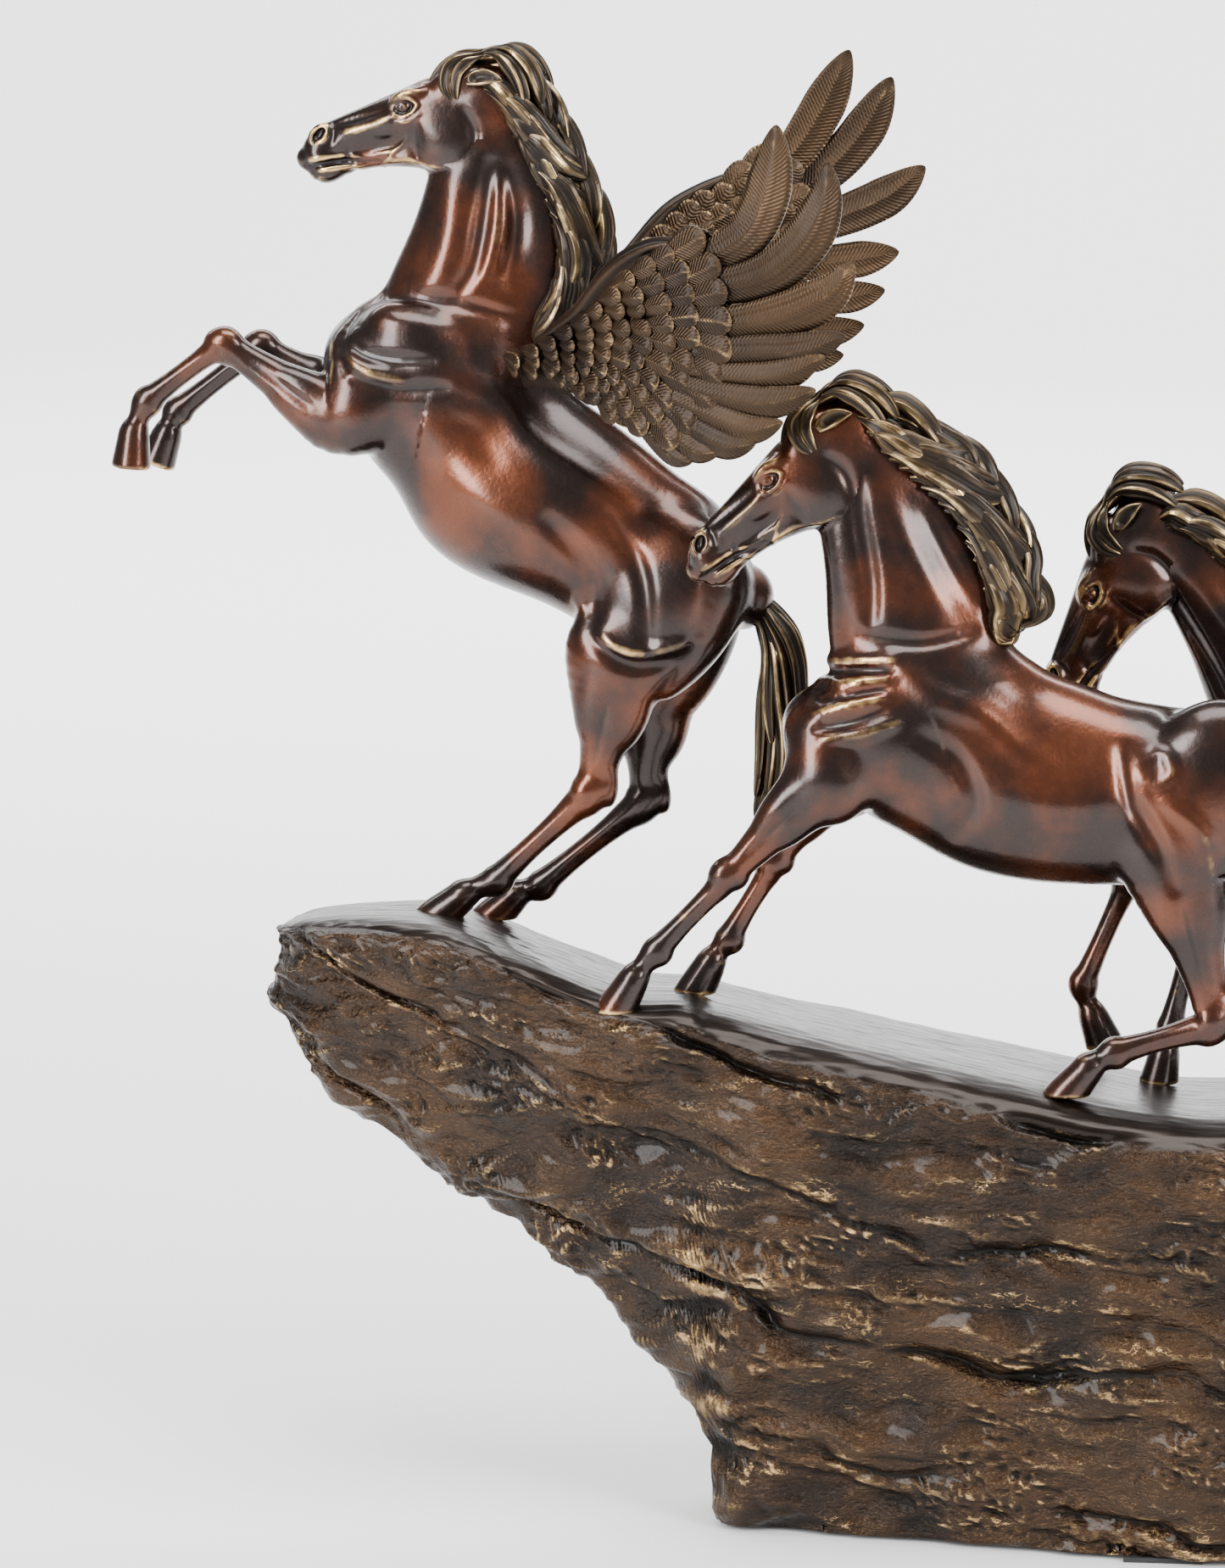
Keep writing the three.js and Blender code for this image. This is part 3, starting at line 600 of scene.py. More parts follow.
@dataclass(frozen=True)
class HorsePlan:
    """One horse, with its lines in its own plane as x and z in millimetres.

    Attributes:
        name: the start of its nodes' names.
        place: where its plane stands.
        spine: the middle of its trunk, from the chest to the croup.
        crest: the middle of its neck, from the chest to the poll.
        nape: the line under the roots of its mane.
        poll: where its head starts.
        dip: how far its head points down, in degrees.
        legs: its legs.
        strokes: its folds and muscles, on both sides.
    """

    name: str
    place: Place
    spine: Line
    crest: Line
    nape: Line
    poll: Point
    dip: float
    legs: tuple[Leg, ...]
    strokes: tuple[Stroke, ...]

    def on_head(self, along: float, down: float) -> tuple[float, float]:
        """The x and z of a point on the head: millimetres from the poll to the lips, and down from there."""
        cos, sin = math.cos(math.radians(self.dip)), math.sin(math.radians(self.dip))
        return self.poll[0] - cos * along + sin * down, self.poll[1] - sin * along - cos * down

    def head_stations(self, girths: Line) -> Array:
        """The sections of the head or the jaw.

        Args:
            girths: rows of share, drop, half height, half width and egg.

        Returns:
            A row for each girth.
        """
        rows = []
        for share, hang, tall, wide, egg in girths:
            x, z = self.on_head(share * HEAD_LENGTH, hang)
            rows.append((x, 0, z, tall, wide, egg))
        return np.array(rows, float)

    def line_stations(self, points: Line, girths: Line) -> Array:
        """The sections along the spine or the crest.

        Args:
            points: the line.
            girths: rows of share, half height, half width and egg.

        Returns:
            A row for each girth.
        """
        line = in_plane(points, 16, 201)
        share = np.linspace(0, 1, 201)
        rows = []
        for at, tall, wide, egg in girths:
            x, z = (np.interp(at, share, line[:, k]) for k in (0, 2))
            rows.append((x, 0, z, tall, wide, egg))
        return np.array(rows, float)

    def nape_stations(self) -> Array:
        """The sections of the crest under the roots of the mane."""
        girths = ((9, 7), (12, 9), (14, 10), (15, 11), (15, 12), (13, 12))
        line = in_plane(self.nape, 12, len(girths))
        return np.array([(*point, tall, wide, 0) for point, (tall, wide) in zip(line, girths)])

    def weld(self, share: float) -> tuple[Array, Array]:
        """A point on the neck's line and the line's direction there, as x and z."""
        line = in_plane(self.crest, 16, 201)[:, [0, 2]]
        i = int(share * 200)
        return line[i], unit(line[i + 1] - line[i - 1])


@dataclass
class Horse:
    """A horse's castings: torso, neck, head and four lower legs.

    Attributes:
        plan: the horse's joints and folds.
        girths: its girths.
    """

    plan: HorsePlan
    girths: Girths = Girths()

    def build(self) -> dict[str, Surface]:
        """Sculpts the horse and parts it at its welds.

        Returns:
            A surface for each casting, in the horse's own frame.
        """
        body, skull = self.sculpt_body(), self.sculpt_skull()
        skin = body.surface()
        skull_gap = skull.read(skin.points)
        at, to = self.plan.weld(THROAT_WELD)
        past = (skin.points[:, [0, 2]] - at) @ to
        label = np.zeros(len(skin.points), int)
        neck_at, neck_to = self.plan.weld(NECK_WELD)
        label[(skin.points[:, [0, 2]] - neck_at) @ neck_to > 0] = 1
        label[(past > 1) & (label == 1) | (skull_gap < 2.5)] = 2
        for i, leg in enumerate(self.plan.legs):
            label[self.on_lower_leg(leg, skin.points)] = 3 + i
        on_face = label[skin.faces].min(axis=1)
        names = ["torso", "neck", "", *(leg.key for leg in self.plan.legs)]
        pieces = {name: skin.part(on_face == i) for i, name in enumerate(names) if name}
        head = self.sculpt_head()
        face = head.surface()
        near = skull.read(face.points)
        keep = (((face.points[:, [0, 2]] - at) @ to > -0.5) | (near < 4)) & (near < 40)
        inside = (face.points[:, [0, 2]] - at) @ to > -46
        pieces["head"] = face.part((keep & inside)[face.faces].all(axis=1))
        return pieces

    @staticmethod
    def on_lower_leg(leg: Leg, points: Array) -> Array:
        """Which points are past the weld of a leg.

        Args:
            leg: the leg.
            points: N by 3.

        Returns:
            A truth value for each point.
        """
        a, b = (np.array(leg.joints[i], float) for i in (1, 2))
        weld, way = a + (b - a) * LEG_WELD, unit(b - a)
        line = resample(np.insert(np.array([weld, *leg.joints[2:]], float), 1, leg.track, axis=1), 40)
        mask = ((points[:, [0, 2]] - weld) @ way > 0) & (points[:, 1] * leg.side.value > -1)
        index = np.nonzero(mask)[0]
        gap = np.linalg.norm(points[index, None, :] - line[None], axis=2).min(axis=1)
        mask[index[gap > 30]] = False
        return mask

    def sculpt_body(self) -> Sculpt:
        """The whole horse without the finer work on its head.

        Returns:
            Its field.
        """
        plan = self.plan
        corners = np.array([*plan.spine, *plan.crest, *(p for leg in plan.legs for p in leg.joints)], float)
        low, high = corners.min(0) - 62, corners.max(0) + 62
        body = Sculpt((low[0], -62, low[1]), (high[0], 62, high[1]), VOXEL)
        body.add_limb(plan.line_stations(plan.spine, self.girths.torso), 10)
        body.add_limb(plan.line_stations(plan.crest, self.girths.neck), 26)
        body.add_limb(plan.nape_stations(), 10)
        self.add_trunk_muscles(body)
        for leg in plan.legs:
            self.add_leg(body, leg)
        self.add_skull(body)
        for stroke in plan.strokes:
            body.strokes(stroke.points, stroke.width, stroke.height)
        return body

    def add_trunk_muscles(self, body: Sculpt) -> None:
        """Adds the muscles of the shoulder, chest, belly and croup.

        Args:
            body: the field to add them to.
        """
        plan = self.plan
        spine = plan.line_stations(plan.spine, self.girths.torso)
        for leg in (one for one in plan.legs if one.fore):
            x, _, z = leg.at(0, 0.1, 4)
            side = leg.side.value
            body.add_ball((x + 14, side * 23, z + 12), (36, 13, 24), leg.tilt(0) + 90, 9)
            x, _, z = leg.at(0, 0.72, 6)
            body.add_ball((x, side * 27, z), (22, 13, 17), leg.tilt(0) + 60, 8)
            x, _, z = leg.at(0, 0.35, -16)
            body.add_ball((x, side * 15, z), (20, 15, 22), leg.tilt(0), 9)
        for leg in (one for one in plan.legs if not one.fore):
            side = leg.side.value
            x, _, z = leg.at(0, 0.2, 6)
            body.add_ball((x, side * 25, z), (40, 17, 34), leg.tilt(0), 12)
            x, _, z = leg.at(0, 0.85, -12)
            body.add_ball((x, side * 26, z), (22, 14, 26), leg.tilt(0), 9)
        x, z = spine[4][[0, 2]]
        body.add_ball((x, 0, z - 12), (70, 36, 48), 0, 20)

    def add_leg(self, body: Sculpt, leg: Leg) -> None:
        """Adds a leg with its muscles, joints, tendons and hoof.

        Args:
            body: the field to add it to.
            leg: the leg.
        """
        rows = leg.stations(self.girths.foreleg if leg.fore else self.girths.hindleg)
        body.add_limb(rows, 13)
        side = leg.side.value
        if leg.fore:
            body.add_ball(leg.at(1, 0.2, -7, 3), (24, 8, 9), leg.tilt(1), 5)
            body.add_ball(leg.at(1, 0.22, 8, 2), (21, 8, 8), leg.tilt(1), 5)
            body.add_ball(leg.at(0, 0.97, 9, 2), (9, 8, 10), leg.tilt(1), 5)
            body.add_ball(leg.at(1, 0.97, -4.5), (8, 7.4, 6.4), leg.tilt(1), 3)
            body.add_ball(leg.at(1, 0.93, 6.5), (6, 4.5, 4.5), leg.tilt(1), 3)
        else:
            body.add_ball(leg.at(1, 0.18, -9, 3), (25, 10, 12), leg.tilt(1), 6)
            body.add_ball(leg.at(1, 0.2, 12, 2), (24, 9, 11), leg.tilt(1), 6)
            body.add_ball(leg.at(1, 0.9, 10.5), (13, 4.8, 5), leg.tilt(1) + 12, 4)
            body.add_ball(leg.at(2, 0.02, -3, 3), (8, 6.4, 7), leg.tilt(2), 3)
        body.add_ball(leg.at(2, 0.98, 5.5), (6.4, 5.6, 5), leg.tilt(2), 3)
        self.add_hoof(body, leg)
        tendon = [leg.at(2, share, 2.6)[::2] for share in (0.2, 0.5, 0.82)]
        body.stroke(tendon, 1.9, -1.0, leg.side)
        body.stroke(tendon, 1.9, -1.0, Side(-side))
        front = [leg.at(1, share, -1)[::2] for share in (0.2, 0.45, 0.75)]
        body.stroke(front, 2.6, -1.4, leg.side)

    def add_hoof(self, body: Sculpt, leg: Leg) -> None:
        """Adds a hoof: a cone with a rounded top edge and a flat sole.

        Args:
            body: the field to add it to.
            leg: the leg.
        """
        (cx, cz), (sx, sz) = leg.joints[4], leg.joints[5]
        way = unit(np.array([sx - cx, sz - cz], float))
        top, sole = np.array([cx, cz]) - 1.5 * way, np.array([sx, sz]) + 5 * way
        girths = ((0, 8.6, 8.6), (0.15, 9.6, 9.4), (0.5, 10.8, 10.2), (0.8, 11.8, 11), (1, 12, 11.2))
        rows = [
            (*self.with_track(top + (sole - top) * share, leg), tall, wide, 0)
            for share, tall, wide in girths
        ]
        hoof = Sculpt(
            (min(cx, sx) - 26, leg.track - 18, min(cz, sz) - 26),
            (max(cx, sx) + 26, leg.track + 18, max(cz, sz) + 26),
            body.voxel,
        )
        hoof.add_limb(np.array(rows, float), 1)
        normal = (0, 0, -1) if leg.planted else (way[0], 0, way[1])
        shift = -1.6 if leg.planted else 0
        hoof.cut((sx - way[0] * shift, leg.track, sz + shift), normal, 30)
        where, _ = body.window(hoof.low - 1e-3, [a[-1] + 1e-3 for a in hoof.axes])
        grid = np.stack(np.meshgrid(*(axis[s] for axis, s in zip(body.axes, where)), indexing="ij"), axis=-1)
        gap = hoof.read(grid.reshape(-1, 3)).reshape(grid.shape[:3])
        body.join(where, gap.astype(np.float32), 1.6)

    @staticmethod
    def with_track(point: Array, leg: Leg) -> tuple[float, float, float]:
        """A point in the leg's plane as x, y and z."""
        return float(point[0]), leg.track, float(point[1])

    def add_skull(self, grid: Sculpt) -> None:
        """Adds the plain forms of the skull, jaw and cheeks.

        Args:
            grid: the field to add them to.
        """
        plan = self.plan
        grid.add_limb(plan.head_stations(self.girths.head), 7)
        grid.add_limb(plan.head_stations(self.girths.jaw), 5)
        x, z = plan.on_head(37, 15)
        grid.add_pair((x, 8.5, z), (20, 8.5, 19.5), -plan.dip, 3.5)

    def sculpt_skull(self) -> Sculpt:
        """The skull alone, which tells the head from the neck."""
        grid = self.head_grid(2 * HEAD_VOXEL)
        self.add_skull(grid)
        return grid

    def head_grid(self, voxel: float) -> Sculpt:
        """An empty grid round the head and the top of the neck."""
        spots = np.array([self.plan.on_head(a, d) for a in (-34, 132) for d in (-44, 62)])
        low, high = spots.min(0), spots.max(0)
        return Sculpt((low[0], -27, low[1]), (high[0], 27, high[1]), voxel)

    def sculpt_head(self) -> Sculpt:
        """The head with its eyes, nostrils, mouth, bones and veins, on the top of the neck.

        Returns:
            Its field.
        """
        plan = self.plan
        grid = self.head_grid(HEAD_VOXEL)
        grid.add_limb(plan.line_stations(plan.crest, self.girths.neck), 6)
        grid.add_limb(plan.nape_stations(), 10)
        self.add_skull(grid)
        ball = self.head_ball
        ball(grid, 48, -13.5, 9.5, (11, 4.6, 4.4), -8, 3)
        ball(grid, 107, -8.5, 5.5, (10, 4.2, 7), 20, 3)
        ball(grid, 113, 0.5, 1, (8.4, 8.6, 8.6), 0, 4)
        ball(grid, 111, 11.5, 1, (7.6, 6.6, 5.2), -8, 3)
        ball(grid, 62, 1, 9.6, (13, 4, 5), 0, 4)
        ball(grid, 20, -13, 7, (14, 7, 9), 0, 6)
        ball(grid, 80, -13, 2.2, (30, 3.4, 3), 2, 3)
        draw = self.head_stroke
        draw(grid, ((62, -6), (76, -5), (92, -6)), 3.4, 2.0)
        draw(grid, ((60, 5), (72, 7), (88, 5)), 5.5, -2.2)
        draw(grid, ((52, 3), (54, 14), (56, 22)), 3.6, -1.6)
        draw(grid, ((20, 6), (19, 18), (25, 32)), 3.6, -1.8)
        draw(grid, ((38, 34), (50, 29), (62, 21), (76, 18)), 2.2, 1.1)
        draw(grid, ((66, -10), (84, -11), (98, -13)), 2.4, -1.1)
        draw(grid, ((99, -14), (100, -8), (103, -3)), 2.0, -1.3)
        draw(grid, ((58, 9), (68, 13), (80, 11)), 1.2, 0.9)
        draw(grid, ((68, 13), (74, 17), (80, 21)), 1.0, 0.7)
        draw(grid, ((94, 2), (97, 9), (96, 15)), 2.2, -1.0)
        self.sculpt_eye(grid)
        ball(grid, 108, -10.5, 8.6, (5.2, 3.4, 2.6), 34, 2, hollow=True)
        draw(grid, ((102.5, -13.5), (107, -15), (112.5, -12.5), (114, -8)), 1.3, 1.4)
        draw(grid, ((104, -7), (108, -6), (112, -8)), 1.2, 0.9)
        draw(grid, ((121.5, 4.6), (112, 6.4), (101, 9), (90, 12.6), (80, 15.8)), 1.35, -2.6)
        draw(grid, ((118, 1.6), (109, 3.2), (99, 5.4), (90, 9)), 1.5, 1.2)
        draw(grid, ((117, 9), (109, 10.4), (100, 12.6), (90, 16)), 1.4, 1.1)
        draw(grid, ((98, 15), (95, 18), (97, 20)), 1.8, -1.1)
        return grid

    def sculpt_eye(self, grid: Sculpt) -> None:
        """Sculpts both eyes: the socket, the ball, the lids and the brow.

        Args:
            grid: the head's field.
        """
        self.head_ball(grid, 54, -8.6, 14.5, (6.6, 4.2, 4.6), -6, 2, hollow=True)
        self.head_ball(grid, 54, -8.6, 9.4, (5.0, 4.4, 4.0), 0, 0.6)
        draw = self.head_stroke
        draw(grid, ((61, -6.6), (57.5, -11.6), (52.5, -13), (47.5, -10.6), (45.4, -7)), 1.25, 2.1)
        draw(grid, ((60.4, -5.8), (57, -4), (52.6, -3.6), (48.6, -4.8), (45.8, -7)), 1.15, 1.7)
        draw(grid, ((62, -10.6), (57, -15.2), (50, -16.6), (43, -14.4)), 1.8, 1.5)
        draw(grid, ((60, -1.6), (53, 0.2), (46, -1.6)), 1.4, 0.8)
        for side in Side:
            x, z = self.plan.on_head(54.4, -8.6)
            y = grid.skin(x, z, side)
            grid.hollow((x, y + side.value * 0.5, z), (1.5, 1.1, 1.5), 0, 0.8)

    def head_ball(
        self, grid: Sculpt, along: float, down: float, out: float, radii: Point, tilt: float, blend: float,
        hollow: bool = False,
    ) -> None:
        """Adds or takes away an ellipsoid on both sides of the head.

        Args:
            grid: the head's field.
            along: how far from the poll to the lips.
            down: how far below the head's line.
            out: how far from the middle plane.
            radii: its half sizes along the head, across it and down it.
            tilt: degrees by which its front is lowered.
            blend: its fillet.
            hollow: whether it is taken away.
        """
        x, z = self.plan.on_head(along, down)
        for side in Side:
            act = grid.hollow if hollow else grid.add_ball
            act((x, side.value * out, z), radii, self.plan.dip + tilt, blend)

    def head_stroke(self, grid: Sculpt, points: Line, width: float, height: float) -> None:
        """A stroke on both sides of the head, with points along it and down it."""
        grid.strokes([self.plan.on_head(*p) for p in points], width, height)


def shifted(strokes: Iterable[Stroke], dx: float, dz: float) -> tuple[Stroke, ...]:
    """Strokes moved in the horse's plane."""
    return tuple(Stroke(tuple((x + dx, z + dz) for x, z in s.points), s.width, s.height) for s in strokes)


PEGASUS = HorsePlan(
    name="pegasus",
    place=Place(0, 5, -5),
    spine=((-163, 692), (-130, 678), (-66, 627), (8, 577), (86, 545)),
    crest=((-100, 676), (-86, 737), (-79, 784), (-73, 836)),
    nape=((-66, 840), (-56, 812), (-46, 786), (-42, 760), (-42, 732), (-50, 702)),
    poll=(-68, 843),
    dip=20,
    legs=(
        Leg(
            "left_foreleg",
            ((-124, 682), (-161, 652), (-228, 695), (-275, 660), (-282, 640), (-284, 620)),
            planted=False,
        ),
        Leg(
            "right_foreleg",
            ((-134, 676), (-163, 655), (-218, 688), (-270, 648), (-275, 634), (-282, 616)),
            planted=False,
        ),
        Leg("left_hindleg", ((47, 562), (7, 502), (-9, 435), (-66, 381), (-85, 371), (-100, 358))),
        Leg("right_hindleg", ((36, 556), (18, 483), (14, 421), (-50, 368), (-64, 361), (-77, 348))),
    ),
    strokes=(
        Stroke(((-70, 800), (-74, 770), (-79, 742), (-88, 726)), 5, -4.2),
        Stroke(((-92, 790), (-92, 764), (-98, 742), (-108, 726)), 9, 2.2),
        Stroke(((-64, 790), (-64, 762), (-70, 738)), 6, 2.4),
        Stroke(((-58, 797), (-54, 766), (-60, 734)), 6, -1.8),
        Stroke(((-134, 723), (-112, 723), (-86, 720), (-58, 712)), 4.4, -2.8),
        Stroke(((-148, 716), (-120, 709), (-84, 704)), 9, 2.4),
        Stroke(((-152, 697), (-136, 690), (-100, 688)), 3.4, -3.0),
        Stroke(((-151, 688), (-138, 681), (-118, 676)), 4.0, 3.8),
        Stroke(((-146, 676), (-119, 671), (-92, 672)), 3.2, -2.4),
        Stroke(((-150, 712), (-156, 698), (-152, 680)), 3.2, -2.2),
        Stroke(((-104, 684), (-84, 678), (-62, 666), (-45, 643), (-15, 624), (14, 606)), 8, 2.6),
        Stroke(((-90, 654), (-76, 646), (-62, 630)), 8, -1.6),
        Stroke(((-84, 620), (-56, 596), (-24, 570)), 13, 1.6),
        Stroke(((-30, 596), (-8, 566), (-6, 530)), 6, -3.4),
        Stroke(((4, 600), (24, 566), (28, 520)), 5, -2.2),
        Stroke(((56, 590), (62, 556), (52, 520), (30, 488)), 5, -2.0),
        Stroke(((-12, 542), (2, 522), (22, 512), (52, 518)), 4, -2.2),
        Stroke(((-16, 548), (-2, 530), (22, 521), (56, 528)), 4, 2.6),
    ),
)

FRONT_FOLDS = (
    Stroke(((148, 634), (149, 610), (155, 574), (156, 549)), 5, -4.2),
    Stroke(((132, 604), (136, 580), (138, 556)), 8, 2.0),
    Stroke(((164, 622), (176, 594), (194, 560)), 8, 2.4),
    Stroke(((186, 612), (200, 584), (214, 560)), 5, -1.8),
    Stroke(((150, 541), (184, 538), (214, 544)), 4, -3.0),
    Stroke(((131, 524), (146, 526), (170, 528)), 3.4, 2.6),
    Stroke(((128, 517), (150, 521), (168, 522)), 2.8, -2.6),
    Stroke(((126, 511), (148, 515), (168, 517)), 3.4, 3.2),
    Stroke(((124, 503), (140, 507), (164, 512)), 2.8, -2.8),
    Stroke(((123, 496), (138, 501), (162, 507)), 3.4, 2.8),
    Stroke(((126, 489), (144, 493), (164, 500)), 2.8, -2.8),
    Stroke(((130, 483), (152, 487), (172, 494)), 3.6, 3.2),
    Stroke(((168, 527), (192, 509), (220, 498), (241, 480), (257, 472)), 8, 3.0),
    Stroke(((186, 486), (206, 474), (216, 450), (206, 428)), 6, -2.8),
    Stroke(((240, 450), (270, 446), (296, 452)), 12, 1.8),
    Stroke(((300, 478), (306, 450), (320, 426), (330, 402)), 5, -4.0),
    Stroke(((312, 474), (322, 478), (328, 468), (320, 461), (311, 466)), 4.2, 1.4),
    Stroke(((324, 452), (346, 432), (352, 400)), 5, 2.2),
    Stroke(((372, 470), (376, 436), (366, 404)), 5, -2.4),
)

FRONT_HORSE = HorsePlan(
    name="front_horse",
    place=Place(0, -75, 0),
    spine=((112, 488), (164, 479), (240, 463), (310, 448), (402, 455)),
    crest=((190, 502), (169, 562), (157, 604), (139, 652)),
    nape=((150, 656), (169, 634), (187, 611), (201, 588), (212, 564), (218, 540)),
    poll=(141, 660),
    dip=45,
    legs=(
        Leg("left_foreleg", ((148, 478), (124, 453), (74, 400), (33, 357), (21, 340), (11, 322))),
        Leg("right_foreleg", ((152, 470), (128, 446), (98, 399), (71, 354), (62, 340), (53, 323))),
        Leg("left_hindleg", ((355, 472), (332, 408), (354, 320), (297, 303), (283, 293), (271, 278))),
        Leg("right_hindleg", ((361, 459), (362, 405), (407, 333), (418, 284), (413, 273), (407, 257))),
    ),
    strokes=FRONT_FOLDS,
)

REAR_HORSE = HorsePlan(
    name="rear_horse",
    place=Place(0, 60, 0),
    spine=((344, 432), (393, 427), (468, 412), (540, 397), (635, 401)),
    crest=((422, 452), (381, 508), (349, 556), (314, 584)),
    nape=((320, 586), (344, 574), (368, 552), (390, 524), (412, 498), (436, 474)),
    poll=(308, 592),
    dip=68,
    legs=(
        Leg("left_foreleg", ((378, 418), (364, 388), (342, 340), (329, 288), (327, 273), (324, 256))),
        Leg(
            "right_foreleg", ((374, 415), (344, 396), (304, 368), (276, 302), (284, 283), (291, 266)), False,
        ),
        Leg("left_hindleg", ((586, 421), (563, 352), (585, 262), (527, 246), (514, 238), (503, 223))),
        Leg("right_hindleg", ((595, 406), (598, 350), (644, 275), (655, 226), (650, 215), (643, 199))),
    ),
    strokes=(
        *shifted(FRONT_FOLDS[5:], 232, -54),
        Stroke(((318, 556), (334, 530), (352, 500), (366, 470)), 5, -3.6),
        Stroke(((342, 556), (362, 526), (384, 498)), 8, 2.4),
    ),
)


def swept(path: Array, facing: Array, section: Array, values: dict[str, Array]) -> Surface:
    """A surface swept along a path.

    Args:
        path: the middle line, N by 3.
        facing: the direction that the section's height points, one row or N by 3.
        section: for each point of the path and each point round it, how far it lies across and in height.
        values: a value for each of those points, by name.

    Returns:
        The swept surface, closed at both ends.
    """
    tangent = unit(np.gradient(path, axis=0))
    across = unit(np.cross(tangent, np.broadcast_to(facing, path.shape)))
    up = np.cross(across, tangent)
    points = path[:, None] + across[:, None] * section[..., :1] + up[:, None] * section[..., 1:]
    rows, around = section.shape[:2]
    index = np.arange(rows * around).reshape(rows, around)
    turned = np.roll(index, -1, axis=1)
    sides = np.stack([index[:-1], turned[:-1], turned[1:], index[1:]], axis=-1).reshape(-1, 4)
    ends = len(points.reshape(-1, 3)) + np.array([0, 1])
    first = np.stack([index[0], np.full(around, ends[0]), np.full(around, ends[0]), turned[0]], axis=-1)
    last = np.stack([turned[-1], np.full(around, ends[1]), np.full(around, ends[1]), index[-1]], axis=-1)
    faces = np.vstack([sides, first, last])
    places = np.vstack([points.reshape(-1, 3), path[:1], path[-1:]])
    full = {}
    for name, value in values.items():
        value = np.broadcast_to(value, (rows, around))
        full[name] = np.r_[value.ravel(), value[0].mean(), value[-1].mean()]
    return Surface(places, faces, None, full)


@dataclass(frozen=True)
class Lock:
    """A lock of hair: an oval strand with grooves along it.

    Attributes:
        path: its middle line, as x, y and z.
        width: its half width where it is widest.
        depth: half its thickness there.
        grooves: how many grooves run round it.
        facing: the side that it shows.
        tone: how bright it is, from 0 to 1.
    """

    path: Array
    width: float
    depth: float
    grooves: int = 7
    facing: Point = (0, -1, 0)
    tone: float = 0.5

    def surface(self) -> Surface:
        """Sweeps the lock.

        Returns:
            Its surface.
        """
        rows = 44
        around = 8 * self.grooves
        path = resample(spline(self.path, 10), rows)
        t = np.linspace(0, 1, rows)[:, None]
        angle = np.linspace(0, 2 * math.pi, around, endpoint=False)[None]
        ending = np.clip(1 - np.clip((t - 0.45) / 0.56, 0, 1) ** 2.2, 0.003, 1)
        girth = (0.16 + 0.84 * smooth(t, 0, 0.38)) * np.sqrt(ending)
        wave = np.cos(self.grooves * angle + 2.6 * t + 7 * self.tone)
        ridge = 1 + 0.17 * wave * smooth(t, 0, 0.1)
        crown = np.clip(np.sin(angle), 0, 1)
        section = np.stack(
            [self.width * girth * np.cos(angle) * ridge, self.depth * girth * np.sin(angle) * ridge], axis=-1
        )
        rub = (0.5 + 0.5 * wave) ** 3 * (0.35 + 0.65 * crown) * (0.6 + 0.4 * self.tone)
        cavity = (0.5 - 0.5 * wave) ** 1.5
        strand = np.broadcast_to(angle * self.width, rub.shape)
        # A negative `edge` in the grooves darkens them with grime and painted shade.
        values = {"edge": rub - 0.8 * cavity, "form": rub, "strand": strand}
        return swept(path, np.array(self.facing, float), section, values)


